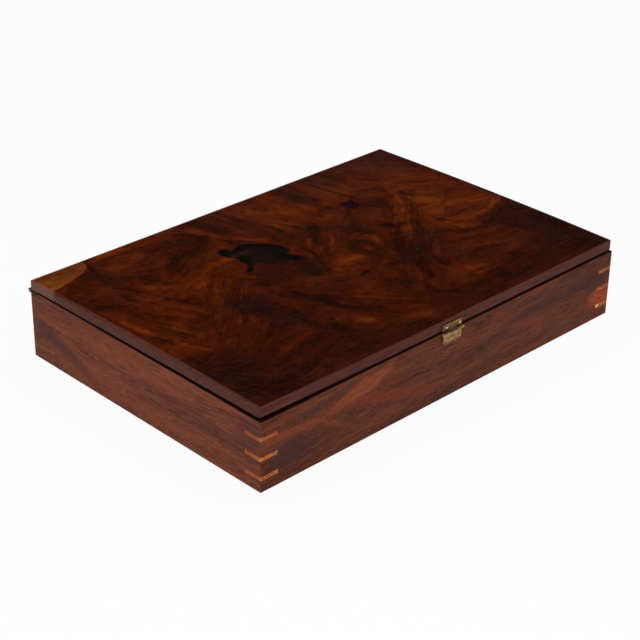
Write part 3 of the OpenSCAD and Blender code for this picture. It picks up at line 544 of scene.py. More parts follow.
# Light and dark in the wood. Each stroke runs from one (x, y) to another, then come its half
# width and how much lighter or darker it is, in hundredths.
STROKES = {
    "broad light and dark": [
        (-200, -80, -110, -140, 46, -9), (-60, -120, 200, -135, 34, -10), (204, -60, 216, -130, 34, -7),
        (-190, 20, -110, 60, 44, 5), (10, 120, 130, 95, 40, 6), (150, -5, 200, 50, 40, 8),
        (40, -40, 90, -30, 30, -8), (-60, 20, -30, -10, 26, -6)],
    "shadow beside the sapwood": [
        (-168, 148, -170, 122, 5, -22), (-172, 126, -176, 98, 6, -16), (-182, 124, -205, 118, 6, -10)],
    "gold along the back": [
        (-162, 143, -128, 144, 5, 28), (-124, 146, -104, 142, 3, 14), (-158, 128, -130, 120, 11, 14),
        (-154, 106, -138, 98, 9, 7), (-106, 146, -84, 138, 8, 8), (-222, 112, -196, 118, 4, 8)],
    "shade in the sapwood": [(-198, 146, -178, 142, 6, -14), (-222, 147, -206, 148, 5, -16)],
    "ripple at the left": [
        (-182, 86, -174, 70, 2.4, -26), (-188, 70, -179, 53, 2.6, -26), (-174, 80, -166, 56, 2.2, -26),
        (-167, 92, -160, 72, 2, -20), (-150, 76, -137, 61, 3, -22), (-209, 68, -203, 52, 2.4, -20),
        (-216, 78, -211, 62, 3, -20), (-198, 62, -192, 44, 2, -16), (-160, 39, -150, 14, 2.6, -30),
        (-189, 30, -183, 8, 2.2, -24), (-182, 17, -174, 0, 2, -22), (-165, 14, -157, 0, 2, -16),
        (-200, 26, -195, 6, 2, -14), (-172, 44, -166, 26, 2, -14), (-212, -10, -207, -22, 3.4, -34),
        (-194, -14, -190, -22, 2.6, -34), (-182, -6, -178, -22, 2, -22), (-172, -4, -168, -18, 2, -18),
        (-160, 98, -152, 80, 2, -12), (-142, 50, -136, 34, 2, -10)],
    "brown below the sapwood": [(-222, 100, -204, 60, 12, -9), (-205, 110, -185, 96, 8, -4)],
    "orange at the left": [
        (-215, 36, -212, 6, 7, 10), (-206, -34, -196, -52, 10, 16), (-186, -2, -184, -14, 5, 6),
        (-216, -30, -219, -50, 5, 6)],
    "gold left of the large knot": [
        (-132, 44, -72, 62, 13, 14), (-86, 66, -64, 58, 7, 14), (-92, 40, -76, 16, 5, 12),
        (-150, 64, -120, 84, 12, 6), (-128, 22, -112, 44, 7, 8)],
    "blots behind the large knot": [
        (-65, 134, -57, 110, 6, -26), (-86, 92, -62, 104, 7, -20), (-116, 90, -99, 101, 7, -20),
        (-104, 118, -88, 126, 7, -12), (-84, 126, -76, 110, 5, -14), (-42, 140, -34, 112, 9, -15),
        (-16, 142, -14, 108, 9, -10), (-120, 70, -108, 78, 4, -8)],
    "light behind the large knot": [(-54, 134, -35, 88, 5, 18), (-34, 86, -22, 74, 4, 16)],
    "inside the large knot": [
        (-50, 61, -45, 62, 3.4, 36), (-36, 62, -28, 58, 5, -10), (-46, 40, -36, 34, 6, 6)],
    "foot of the large knot": [
        (-50, 22, -30, 10, 12, -10), (-22, 20, -26, -6, 6.5, -26), (-34, -6, -33, -12, 4, -26),
        (-76, 24, -66, 12, 4, -16), (-86, 10, -76, 4, 5, -20), (-66, 4, -58, -6, 5, -10)],
    "contour right of the large knot": [
        (-14, 66, -5, 50, 2.5, -20), (-4, 48, -4, 18, 3, -22), (-5, 14, -16, -12, 3.5, -20),
        (-12, 92, -9, 72, 5, -12)],
    "fan at the left front": [
        (-100, 28, -139, 2, 2.2, -16), (-139, 2, -160, -14, 2, -14), (-116, 10, -152, -22, 2.4, -14),
        (-152, -22, -176, -46, 2.4, -14), (-112, -4, -142, -36, 4, -14), (-142, -36, -170, -62, 3, -12),
        (-96, 20, -120, -2, 3, -12), (-152, -8, -170, -28, 2, -10), (-126, -52, -146, -66, 2.4, 8),
        (-120, -60, -170, -78, 3, -10), (-104, -78, -160, -92, 2.6, -10), (-98, -90, -164, -104, 3, 10),
        (-84, -110, -150, -130, 3.5, -14), (-98, -100, -170, -116, 3, -8), (-92, -122, -150, -138, 3, 6)],
    "purple left of the middle": [
        (-118, -10, -106, -40, 13, -20), (-112, -30, -98, -62, 10, -18), (-97, -60, -97, -88, 6, -16),
        (-128, -28, -126, -46, 6, -10)],
    "dark corner at the left front": [
        (-216, -70, -192, -132, 20, -15), (-186, -80, -168, -100, 12, -6),
        (-222, -124, -186, -150, 13, -18)],
    "dark streak at the middle": [
        (-76, -26, -72, -34, 5, -16), (-72, -36, -65, -50, 4, -34), (-61, -56, -48, -84, 5, -30),
        (-44, -90, -34, -98, 3, -16), (-84, -90, -79, -107, 5, -26), (-92, -88, -86, -98, 3, -10),
        (-84, -50, -80, -68, 4, -12), (-78, -36, -74, -60, 3, -8)],
    "light patches at the front": [
        (-73, -86, -54, -106, 5, 24), (-68, -64, -60, -78, 3, 12), (-26, -112, -8, -134, 11, 15),
        (-20, -113, -14, -117, 1.4, 22), (-104, -96, -92, -102, 6, 10), (-46, -20, -10, -30, 10, 12),
        (-6, -18, -2, -30, 6, 10), (-30, -60, -14, -84, 10, 5)],
    "fine lines below the knot": [
        (-44, -50, -18, -58, 1.6, -14), (-60, -2, -54, -24, 2, 10), (-92, 0, -88, -20, 1.8, 8),
        (-10, -98, 1, -113, 2.2, -18), (1, -113, 12, -124, 2.4, -10)],
    "light at the back": [(5, 138, 22, 84, 11, 12), (20, 92, 30, 74, 6, 10), (34, 138, 48, 100, 10, 8)],
    "dark right of the large knot": [
        (8, 84, 8, 58, 4, -26), (34, 58, 12, 28, 4.5, -22), (36, 64, 33, 56, 5, -16),
        (18, 22, 4, 4, 2, -16), (42, 50, 52, 40, 4, -10)],
    "gold lines right of the large knot": [
        (8, 36, 22, 51, 2.4, 22), (8, 8, 32, 32, 1.6, 22), (2, 14, 20, 36, 1.4, 16)],
    "dark bands at the back": [
        (65, 146, 68, 118, 6, -28), (70, 116, 78, 98, 7, -16), (82, 140, 84, 104, 5, -14),
        (104, 130, 109, 96, 1.8, -20), (109, 96, 112, 84, 3.4, -22), (134, 140, 140, 126, 8, -8),
        (22, 142, 24, 122, 6, -6), (68, 80, 74, 74, 6, -14)],
    "light between the bands": [
        (115, 128, 118, 96, 5, 14), (96, 130, 98, 100, 4, 6), (63, 100, 66, 84, 2.5, 10)],
    "ring right of the small knot": [
        (118, 86, 134, 88, 4, -12), (134, 88, 146, 78, 4, -12), (146, 78, 140, 60, 5, -12),
        (108, 58, 116, 50, 6, -10), (88, 64, 80, 56, 5, -8)],
    "bright band at the right": [
        (149, 64, 140, 44, 7, 20), (140, 44, 116, 18, 6, 20), (114, 16, 98, -2, 3, 14),
        (158, 74, 176, 64, 10, 14), (120, 70, 132, 66, 5, 8)],
    "dark lines in the band": [
        (142, 27, 116, 1, 1.6, -28), (134, 12, 120, -2, 1.5, -20), (122, 39, 103, 20, 2.6, -24),
        (148, 24, 156, 18, 4, -12), (158, 57, 154, 42, 3.6, -28), (138, 52, 128, 40, 1.2, -8)],
    "bright field at the right": [
        (124, -6, 152, -30, 8, 16), (150, 8, 192, -4, 18, 17), (158, -22, 186, -22, 10, 12),
        (196, -28, 206, -22, 5, 10), (160, 34, 172, 24, 8, 12), (138, -10, 141, -18, 3.4, -28),
        (126, -4, 128, -10, 3, -10), (176, 94, 214, 62, 18, 4), (186, 44, 212, 26, 10, -5)],
    "arc below the field": [
        (112, -26, 134, -45, 2.6, -20), (134, -45, 152, -51, 2.6, -22), (152, -51, 172, -46, 3.4, -20),
        (172, -47, 202, -38, 8, -15), (202, -36, 222, -26, 8, -15), (120, -52, 152, -64, 5, 6),
        (104, -62, 146, -80, 5, 5), (112, -56, 150, -71, 1.4, -8), (100, -70, 148, -88, 1.6, -10),
        (152, -71, 176, -70, 1.6, -8), (96, -86, 150, -98, 2, -8)],
    "burl": [
        (10, -10, 20, -12, 8, 28), (57, 8, 47, -12, 4.5, 26), (46, -14, 38, -38, 2.4, 16),
        (46, 12, 62, 5, 3.6, 20), (30, 4, 38, -24, 5, -22), (36, 10, 42, 2, 4, -14),
        (57, 36, 65, 12, 6, -22), (3, -18, 16, -28, 1.6, -20), (20, 2, 10, 8, 2, -12),
        (4, -2, 14, 4, 2, 10), (26, -22, 30, -34, 3, -10), (22, -44, 34, -38, 2, 14),
        (44, -10, 48, -26, 1.4, -18), (64, 30, 84, 40, 6, -6), (80, 46, 66, 36, 4, -8)],
    "dark streak right of the burl": [
        (60, -58, 86, -34, 7, -27), (86, -36, 108, -16, 5, -26), (62, -26, 82, -8, 6, -27),
        (64, -42, 76, -32, 6, -18), (84, -6, 94, 2, 3.5, -22), (100, -8, 112, 2, 2, -14),
        (58, -62, 44, -90, 4.5, -20), (75, -62, 73, -80, 4, -20), (92, -60, 84, -72, 3, -10),
        (14, -38, 46, -46, 2.2, -18), (40, -49, 58, -42, 4, -20), (96, -30, 108, -14, 2, 20),
        (66, -50, 92, -26, 1.8, 20), (82, -20, 104, 2, 2.2, 24), (54, -32, 70, -18, 1.8, 16),
        (78, -60, 100, -40, 2.2, 12), (88, 22, 96, 4, 4.5, -30), (98, 2, 107, 10, 3, -22)],
    "tongue at the front": [
        (48, -86, 23, -104, 2.6, -20), (22, -104, 23, -114, 2.6, -20), (23, -114, 36, -125, 3.4, -22),
        (36, -125, 92, -128, 5, -13), (92, -129, 196, -124, 6, -6), (42, -98, 84, -102, 9, 15),
        (84, -104, 120, -112, 6, 5), (100, -92, 130, -98, 4, 6), (60, -78, 66, -88, 3, 10),
        (32, -67, 14, -88, 1.8, -20), (44, -70, 30, -86, 1.6, 12), (8, -68, 16, -74, 6, -16),
        (20, -58, 36, -52, 5, 10), (121, -79, 124, -82, 2, -22), (8, -92, 16, -102, 5, 8)],
    "dark right front corner": [
        (190, -64, 206, -92, 17, -15), (208, -90, 214, -114, 13, -12), (180, -56, 178, -80, 5, -16),
        (170, -96, 200, -102, 12, -10), (216, -50, 220, -74, 8, -14), (198, -70, 208, -82, 2, 8)],
    "front edge": [(-150, -146, 190, -146, 9, -3), (40, -138, 200, -134, 4, -5)],
    "edge at the right": [(222, 140, 222, -10, 6, -15), (196, 132, 218, 112, 16, -10)],
}
# Runs of the grain where it lies plain
PLAIN_GRAIN = [
    (-218, 112, -192, 116), (-140, 112, -118, 122), (-170, -50, -146, -28), (-205, -74, -176, -60),
    (-212, -98, -176, -88), (-212, -134, -160, -128), (-60, -138, -22, -124), (-4, 142, -2, 106),
    (44, 142, 47, 100), (128, 142, 126, 104), (168, 140, 186, 114), (200, 108, 216, 90), (176, 92, 204, 76),
    (186, 50, 212, 36), (186, 6, 214, -4), (150, -78, 186, -74), (142, -102, 190, -98),
    (100, -114, 180, -112), (60, -142, 200, -140), (-104, -147, -20, -144), (84, 22, 100, 36),
    (60, 52, 84, 60), (-20, -40, 0, -48), (-40, -108, -28, -128),
]
# Where the wood turns from golden brown to purple: place, half width and amount, as above
PURPLE = [
    (-210, -96, -170, -140, 34, 90), (-120, -14, -98, -80, 20, 80), (206, -60, 212, -120, 34, 90),
    (60, -46, 100, -20, 18, 45), (-160, -146, 200, -146, 16, 50), (-222, -130, -176, -150, 16, 80),
    (-54, -60, -42, -84, 12, 40), (-42, 140, -8, 110, 16, 30), (-40, 14, -26, -6, 14, 50),
    (70, 140, 80, 100, 10, 30), (100, -90, 160, -100, 26, 25), (-176, 120, -176, 98, 8, 40),
    (-80, -100, -90, -130, 20, 40),
]
# Outline of the large knot as rounded strokes that run into one another, with their radius
LARGE_KNOT = [
    (-62, 76, -62, 73, 5.6), (-60, 70, -57, 62, 5), (-46, 66, -40, 66.5, 10.3), (-30, 60, -26, 56, 9),
    (-44, 54, -30, 48, 15.5), (-40, 40, -32, 36, 12.5), (-21, 52, -19, 42, 6.5), (-27, 30, -22, 23, 6.2),
    (-55, 46, -70, 32, 3), (-58, 52, -54, 42, 5),
]
# Its blackest parts
LARGE_KNOT_RIM = [
    (-62, 77, -63, 72, 3.5), (-54, 72, -46, 75.5, 3), (-46, 75.5, -37, 75, 3.4), (-37, 73, -27, 66, 3),
    (-24, 64, -18, 64, 2.6), (-20, 60, -16, 45, 3.6), (-27, 46, -26, 32, 3.4), (-24, 28, -20, 20, 5),
    (-60, 47, -70, 32, 2.6), (-59, 56, -60, 48, 2.4),
]
SMALL_KNOTS = [
    (96, 74, 99, 68, 6.5), (103, 76, 106, 78, 1.6), (92, 15, 93, 11, 2.2), (0, -42, 9, -40, 1.4),
]
# The sapwood ends at this line, from the left edge to the back one
SAP_LINE = [(-232, 117), (-210, 122), (-195, 126), (-183, 130), (-175, 135), (-170, 142), (-168, 160)]

FIGURE_STEP = 1.5
FIGURE_MARGIN = 6
FIGURE_SEED = 12
# How far off a stroke still turns the grain
GRAIN_SPREAD = 9.0
# How far the strokes can take the wood from its middle tone, however many lie together
TONE_RANGE = 0.34


def off_stroke(x, y, stroke):
    """Distance from each point to the straight stroke from (x0, y0) to (x1, y1)."""
    x0, y0, x1, y1 = stroke[:4]
    length2 = max((x1 - x0) ** 2 + (y1 - y0) ** 2, 1e-9)
    share = np.clip(((x - x0) * (x1 - x0) + (y - y0) * (y1 - y0)) / length2, 0, 1)
    return np.hypot(x - x0 - share * (x1 - x0), y - y0 - share * (y1 - y0))


def shaded(x, y, strokes):
    """Sum of the strokes' amounts, each falling off as exp(-(distance / half width)^2)."""
    total = np.zeros(x.shape)
    for stroke in strokes:
        total += stroke[5] / 100 * np.exp(-(off_stroke(x, y, stroke) / stroke[4]) ** 2)
    return total


def within(x, y, strokes):
    """Depth inside the union of rounded strokes, positive inside and negative outside."""
    return np.max([stroke[4] - off_stroke(x, y, stroke) for stroke in strokes], axis=0)


def fibre_angle(x, y, strokes):
    """The grain's run, as the cosine and sine of twice its angle.

    Each stroke's own direction counts by 1 / (distance^2 + GRAIN_SPREAD^2)^2, a short one less."""
    cosine, sine = np.zeros(x.shape), np.zeros(x.shape)
    for stroke in strokes:
        along, up = stroke[2] - stroke[0], stroke[3] - stroke[1]
        length = math.hypot(along, up)
        trust = min(1.0, length / (2 * stroke[4]))
        weight = trust / (off_stroke(x, y, stroke) ** 2 + GRAIN_SPREAD ** 2) ** 2
        cosine += weight * (along ** 2 - up ** 2) / length ** 2
        sine += weight * 2 * along * up / length ** 2
    size = np.maximum(np.hypot(cosine, sine), 1e-12)
    return cosine / size, sine / size


def soften(field, radius):
    """Gaussian blur of a field, by its radius in millimetres."""
    rows, columns = field.shape
    fy = np.fft.fftfreq(rows, FIGURE_STEP)[:, None]
    fx = np.fft.rfftfreq(columns, FIGURE_STEP)[None, :]
    low_pass = np.exp(-2 * (math.pi * radius) ** 2 * (fx ** 2 + fy ** 2))
    return np.fft.irfft2(np.fft.rfft2(field) * low_pass, s=field.shape)


def even_out(field):
    """The field with mean 0 and spread 1."""
    return (field - field.mean()) / field.std()


def sample(field, column, row):
    """The field read between its grid points."""
    rows, columns = field.shape
    column = np.clip(column, 0, columns - 1.001)
    row = np.clip(row, 0, rows - 1.001)
    c, r = column.astype(int), row.astype(int)
    fc, fr = column - c, row - r
    near = field[r, c] * (1 - fc) + field[r, c + 1] * fc
    far = field[r + 1, c] * (1 - fc) + field[r + 1, c + 1] * fc
    return near * (1 - fr) + far * fr


def drawn_out(field, dx, dy, reach):
    """The field averaged along the fibres, over reach millimetres each way."""
    rows, columns = field.shape
    row0, column0 = np.mgrid[0:rows, 0:columns].astype(float)
    total = field.copy()
    steps = int(reach / FIGURE_STEP)
    for sense in (1.0, -1.0):
        row, column = row0.copy(), column0.copy()
        last_x, last_y = dx * sense, dy * sense
        for _ in range(steps):
            c = np.clip(np.rint(column), 0, columns - 1).astype(int)
            r = np.clip(np.rint(row), 0, rows - 1).astype(int)
            here_x, here_y = dx[r, c], dy[r, c]
            flip = np.where(here_x * last_x + here_y * last_y < 0, -1.0, 1.0)
            last_x, last_y = here_x * flip, here_y * flip
            column = column + last_x
            row = row + last_y
            total += sample(field, column, row)
    return total / (2 * steps + 1)


class Figure:
    """The lid's figure on a grid over it; each field can be read at any (x, y)."""

    def __init__(self):
        random = np.random.default_rng(FIGURE_SEED)
        self.x0, self.y0 = LID_LEFT - FIGURE_MARGIN, LID_FRONT - FIGURE_MARGIN
        columns = int((LID_RIGHT - LID_LEFT + 2 * FIGURE_MARGIN) / FIGURE_STEP) + 2
        rows = int((LID_BACK - LID_FRONT + 2 * FIGURE_MARGIN) / FIGURE_STEP) + 2
        y, x = np.mgrid[0:rows, 0:columns] * FIGURE_STEP
        x, y = x + self.x0, y + self.y0
        strokes = [stroke for group in STROKES.values() for stroke in group]
        strokes += [(*run, 3, 0) for run in PLAIN_GRAIN]

        def cloud(radius):
            return even_out(soften(random.standard_normal(x.shape), radius))

        wobble = [cloud(7) for _ in range(2)]
        shiver = [cloud(2.2) for _ in range(2)]
        cloudy = cloud(1.4)
        cloudy = even_out(cloudy + cloud(3.2))
        cosine, sine = fibre_angle(x + 1.5 * wobble[0], y + 1.5 * wobble[1], strokes)
        turn = 0.5 * np.arctan2(sine, cosine)
        dx, dy = np.cos(turn), np.sin(turn)
        thin = even_out(drawn_out(random.standard_normal(x.shape), dx, dy, 14))
        middle = even_out(drawn_out(soften(random.standard_normal(x.shape), 2.0), dx, dy, 20))
        broad = even_out(drawn_out(soften(random.standard_normal(x.shape), 4.5), dx, dy, 30))
        shift = middle + broad + 0.4 * thin
        wx = x - dy * shift + 1.5 * wobble[0] + 1.5 * shiver[0]
        wy = y + dx * shift + 1.5 * wobble[1] + 1.5 * shiver[1]
        ragged = 0.7 * middle + 0.7 * thin + 0.7 * wobble[0]
        px, py = np.array(SAP_LINE, float).T
        past_line = np.minimum(y - np.interp(x, px, py), px[-1] - x)
        streaky = np.clip(1 + 0.3 * middle + 0.3 * thin, 0.2, 2.0)
        drawn = shaded(wx, wy, strokes) * streaky
        self.fields = {
            "tone": 0.50 + TONE_RANGE * np.tanh(1.2 * drawn / TONE_RANGE) + 0.035 * cloudy,
            "purple": np.clip(shaded(wx, wy, PURPLE), 0, 1),
            "thin": thin, "middle": middle, "broad": broad, "cosine": cosine, "sine": sine,
            "knot": within(x, y, LARGE_KNOT) + 0.8 * ragged,
            "rim": within(x, y, LARGE_KNOT_RIM) + 0.5 * ragged,
            "spot": within(x, y, SMALL_KNOTS) + 0.5 * ragged,
            "sap": past_line + 0.6 * ragged,
        }

    def read(self, name, x, y):
        return sample(self.fields[name], (x - self.x0) / FIGURE_STEP, (y - self.y0) / FIGURE_STEP)


# Lid


GAP_HINGE, GAP_LEFT, GAP_CENTRE, GAP_RIGHT = 1.5, 3.0, 1.4, 1.9
RIGHT_BOW = 1.6
BACK_THICKNESS, FRONT_THICKNESS = 9.0, 10.2
LEAF_WIDTH = 11.2
LID_CORNER = 2.6
LID_GRID = 1.45
SKIRT_ROWS = 5
EDGE_LINES = [0.0, 0.12, 0.3, 0.55, 0.9, 1.3, 1.8, 2.4, 3.1, 4.0]


def lid_under(x, y):
    """Height of the warped underside: flat over the hinge leaf, then rising to the front gap.

    Towards the right end it also bows up between the two, as 4 s (1 - s)."""
    u = x / HALF_LENGTH
    even = (GAP_LEFT + GAP_RIGHT) / 2 - GAP_CENTRE
    odd = (GAP_RIGHT - GAP_LEFT) / 2
    gap = GAP_CENTRE + even * u ** 2 + odd * (1.25 * u ** 3 - 0.25 * u)
    start = HALF_DEPTH - LEAF_WIDTH
    s = np.maximum(0.0, (start - y) / (start - LID_FRONT))
    bow = RIGHT_BOW * 4 * s * (1 - s) * ((1 + u) / 2) ** 3
    return LID_UNDER + (gap - GAP_HINGE) * (1.5 * s - 0.5 * s ** 2) + bow


def lid_over(x, y):
    """Height of the top: the underside plus a thickness that grows towards the front."""
    s = (LID_BACK - y) / (LID_BACK - LID_FRONT)
    return lid_under(x, y) + BACK_THICKNESS + (FRONT_THICKNESS - BACK_THICKNESS) * s


def grid_lines(low, high):
    """Places of the grid's lines from low to high, close together near both ends."""
    near = np.array(EDGE_LINES)
    count = int((high - low - 2 * near[-1]) / LID_GRID)
    between = np.linspace(low + near[-1], high - near[-1], count + 1)
    return np.concatenate([low + near[:-1], between, high - near[:-1][::-1]])


def rounded_plan(x, y):
    """A rectangle's grid with its corner squares drawn in to quarter discs.

    Returns the new places, the distance to the outline and the outward direction there."""
    middle_x, middle_y = (LID_LEFT + LID_RIGHT) / 2, (LID_FRONT + LID_BACK) / 2
    half_x, half_y = (LID_RIGHT - LID_LEFT) / 2, (LID_BACK - LID_FRONT) / 2
    sx, sy = np.sign(x - middle_x), np.sign(y - middle_y)
    a = np.maximum(0.0, np.abs(x - middle_x) - (half_x - LID_CORNER)) / LID_CORNER
    b = np.maximum(0.0, np.abs(y - middle_y) - (half_y - LID_CORNER)) / LID_CORNER
    disc_a, disc_b = a * np.sqrt(1 - b ** 2 / 2), b * np.sqrt(1 - a ** 2 / 2)
    new_x = np.where(a > 0, middle_x + sx * (half_x - LID_CORNER + LID_CORNER * disc_a), x)
    new_y = np.where(b > 0, middle_y + sy * (half_y - LID_CORNER + LID_CORNER * disc_b), y)
    inside_x = half_x - np.abs(new_x - middle_x)
    inside_y = half_y - np.abs(new_y - middle_y)
    corner = (a > 0) & (b > 0)
    radius = np.hypot(disc_a, disc_b)
    inside = np.where(corner, LID_CORNER * (1 - radius), np.minimum(inside_x, inside_y))
    out_x = np.where(corner, sx * disc_a / np.maximum(radius, 1e-9), np.where(inside_x < inside_y, sx, 0.0))
    out_y = np.where(corner, sy * disc_b / np.maximum(radius, 1e-9), np.where(inside_x < inside_y, 0.0, sy))
    return new_x, new_y, np.maximum(inside, 0.0), out_x, out_y


def worn_middle(y):
    """1 at the middle of the left edge, where hands have worn it most, and 0 at its ends."""
    s = (y - LID_FRONT) / (LID_BACK - LID_FRONT)
    return np.clip(np.sin(math.pi * np.clip(s, 0, 1)), 0, 1) ** 0.7


def by_side(out_x, out_y, left, right, front, back):
    """A value for each side, blended round the corners by the outward direction."""
    return (np.where(out_x < 0, left, right) * out_x ** 2
            + np.where(out_y < 0, front, back) * out_y ** 2)


def arris_drop(inside, across, down):
    """How far an elliptical arris has fallen at this distance from the outline."""
    share = np.clip(1 - inside / np.maximum(across, 1e-9), 0, 1)
    return down * (1 - np.sqrt(1 - share ** 2))


def perimeter(rows, columns):
    """Indices of a grid's outline, going round once, counter-clockwise seen from above."""
    grid = np.arange(rows * columns).reshape(rows, columns)
    return np.concatenate([grid[0, :-1], grid[:-1, -1], grid[-1, :0:-1], grid[:0:-1, 0]])


def grid_faces(rows, columns, first=0, flip=False):
    """Quads of a grid whose rows run along +Y and columns along +X."""
    grid = first + np.arange(rows * columns).reshape(rows, columns)
    quads = np.stack([grid[:-1, :-1], grid[:-1, 1:], grid[1:, 1:], grid[1:, :-1]], -1).reshape(-1, 4)
    return quads[:, ::-1] if flip else quads


def strip_faces(upper, lower):
    """Quads between two closed loops of equal length; upper runs counter-clockwise."""
    return np.stack([lower, np.roll(lower, -1), np.roll(upper, -1), upper], -1)


def sheet_points(x, y, z):
    return np.stack([x, y, z], -1).reshape(-1, 3)


def mesh_piece(name, points_mm, quads, material):
    """A smooth object from points in millimetres and an array of quads."""
    mesh = bpy.data.meshes.new(name)
    mesh.vertices.add(len(points_mm))
    mesh.vertices.foreach_set("co", (np.asarray(points_mm) * MM).astype(np.float32).ravel())
    mesh.loops.add(quads.size)
    mesh.loops.foreach_set("vertex_index", quads.astype(np.int32).ravel())
    mesh.polygons.add(len(quads))
    mesh.polygons.foreach_set("loop_start", np.arange(0, quads.size, 4, dtype=np.int32))
    mesh.update(calc_edges=True)
    mesh.validate()
    mesh.polygons.foreach_set("use_smooth", np.ones(len(mesh.polygons), bool))
    mesh.materials.append(material)
    return put(name, mesh)


def store(piece, name, values):
    """A named value on every vertex, for the material to read."""
    attribute = piece.data.attributes.new(name, "FLOAT", "POINT")
    attribute.data.foreach_set("value", np.asarray(values, np.float32).ravel())


def lid_material():
    """Figured walnut: its figure is read from the mesh, its edges are plainer and greyer, and its lower arris
    has painted shade.
    """
    made, tree, shader, place = new_material("lid walnut")

    def value(name):
        return tree.node("ShaderNodeAttribute", attribute_name=name).outputs["Fac"]

    turn = tree.times(tree.math("ARCTAN2", value("sine"), value("cosine")), 0.5)
    run = tree.node("ShaderNodeCombineXYZ", {0: tree.math("COSINE", turn), 1: tree.math("SINE", turn)})
    fine = tree.group(FIBRES, Vector=place, Direction=run, Width=0.9 * MM)
    coarse = tree.group(FIBRES, Vector=place, Direction=run, Width=2.0 * MM)
    speck = tree.noise(place, 0.8, 3.0, 0.6)
    mottle = tree.noise(place, 6, 5.0, 0.65, 0.4)
    tone = value("tone")
    for part, middle, weight in (
            (fine, 0.5, 0.36), (coarse, 0.5, 0.28), (speck, 0.5, 0.14), (mottle, 0.5, 0.4),
            (value("thin"), 0, 0.045), (value("middle"), 0, 0.05), (value("broad"), 0, 0.03)):
        tone = tree.add(tone, tree.times(tree.minus(part, middle), weight))
    golden = tree.ramp(tone, [(0.0, (14, 3, 1)), (0.25, (36, 10, 1)), (0.5, (59, 17, 1)),
                              (0.75, (82, 28, 2)), (1.0, (100, 44, 6))])
    russet = tree.ramp(tone, [(0.0, (13, 2, 3)), (0.25, (31, 8, 6)), (0.5, (53, 17, 8)),
                              (0.75, (76, 27, 10)), (1.0, (104, 44, 14))])
    colour = tree.mix(value("purple"), golden, russet)
    sap = tree.ramp(tone, [(0.25, (72, 30, 8)), (0.5, (102, 50, 14)), (0.75, (122, 66, 24))])
    colour = tree.mix(tree.span(value("sap"), -0.6, 0.8), colour, sap)
    uneven = tree.minus(mottle, 0.5)
    crazed = tree.add(tone, tree.times(uneven, 1.3))
    inside = tree.ramp(crazed, [(0.2, (8, 4, 5)), (0.5, (20, 9, 8)), (0.75, (31, 13, 9)), (1.0, (50, 19, 8))])
    bitten = tree.weigh((uneven, 7.0), (tree.minus(fine, 0.5), 2.5))
    heart = tree.mix(tree.span(tree.add(value("rim"), bitten), -1.5, 0.8), inside, (6, 5, 4))
    colour = tree.mix(tree.span(tree.add(value("knot"), bitten), -0.7, 0.7), colour, heart)
    colour = tree.mix(tree.span(tree.add(value("spot"), bitten), -2.0, 1.4, 0.0, 0.92), colour, (9, 4, 3))

    long_grain = tree.noise(place, (30, 2.2, 1.4), 4.0, 0.6, 0.4)
    front_edge = tree.ramp(long_grain, [(0.3, (58, 27, 20)), (0.55, (84, 42, 32)), (0.8, (104, 58, 46))])
    end_grain = tree.noise(place, (2.0, 8.0, 1.2), 4.0, 0.65, 0.3)
    end_edge = tree.ramp(end_grain, [(0.3, (62, 32, 24)), (0.55, (82, 45, 35)), (0.8, (98, 58, 46))])
    sap_edge = tree.mix(tree.span(value("sap"), -6.0, 2.0, 0.0, 0.6), end_edge, (118, 84, 64))
    edge = tree.mix(value("end"), front_edge, sap_edge)
    colour = tree.mix(value("edge"), colour, edge)
    # Painted shade: the lower arris and the underside near the outline are darkened, where the lid's gap lies
    # in shadow
    colour = tree.mix(tree.span(value("low"), 0.85, 0.98, 0.0, 0.85), colour, (16, 7, 5))
    scratches, smears = tree.group(SCUFFS, Vector=place, Size=1.4).outputs
    colour = tree.mix(tree.times(scratches, 0.05), colour, (140, 100, 70))
    gloss = tree.add(tree.span(smears, 0.0, 1.0, 0.20, 0.24), tree.times(value("edge"), 0.2))
    cover(tree, shader, colour, gloss, 0.05, bump(tree, tree.add(fine, speck), 0.02, 0.3))
    return made


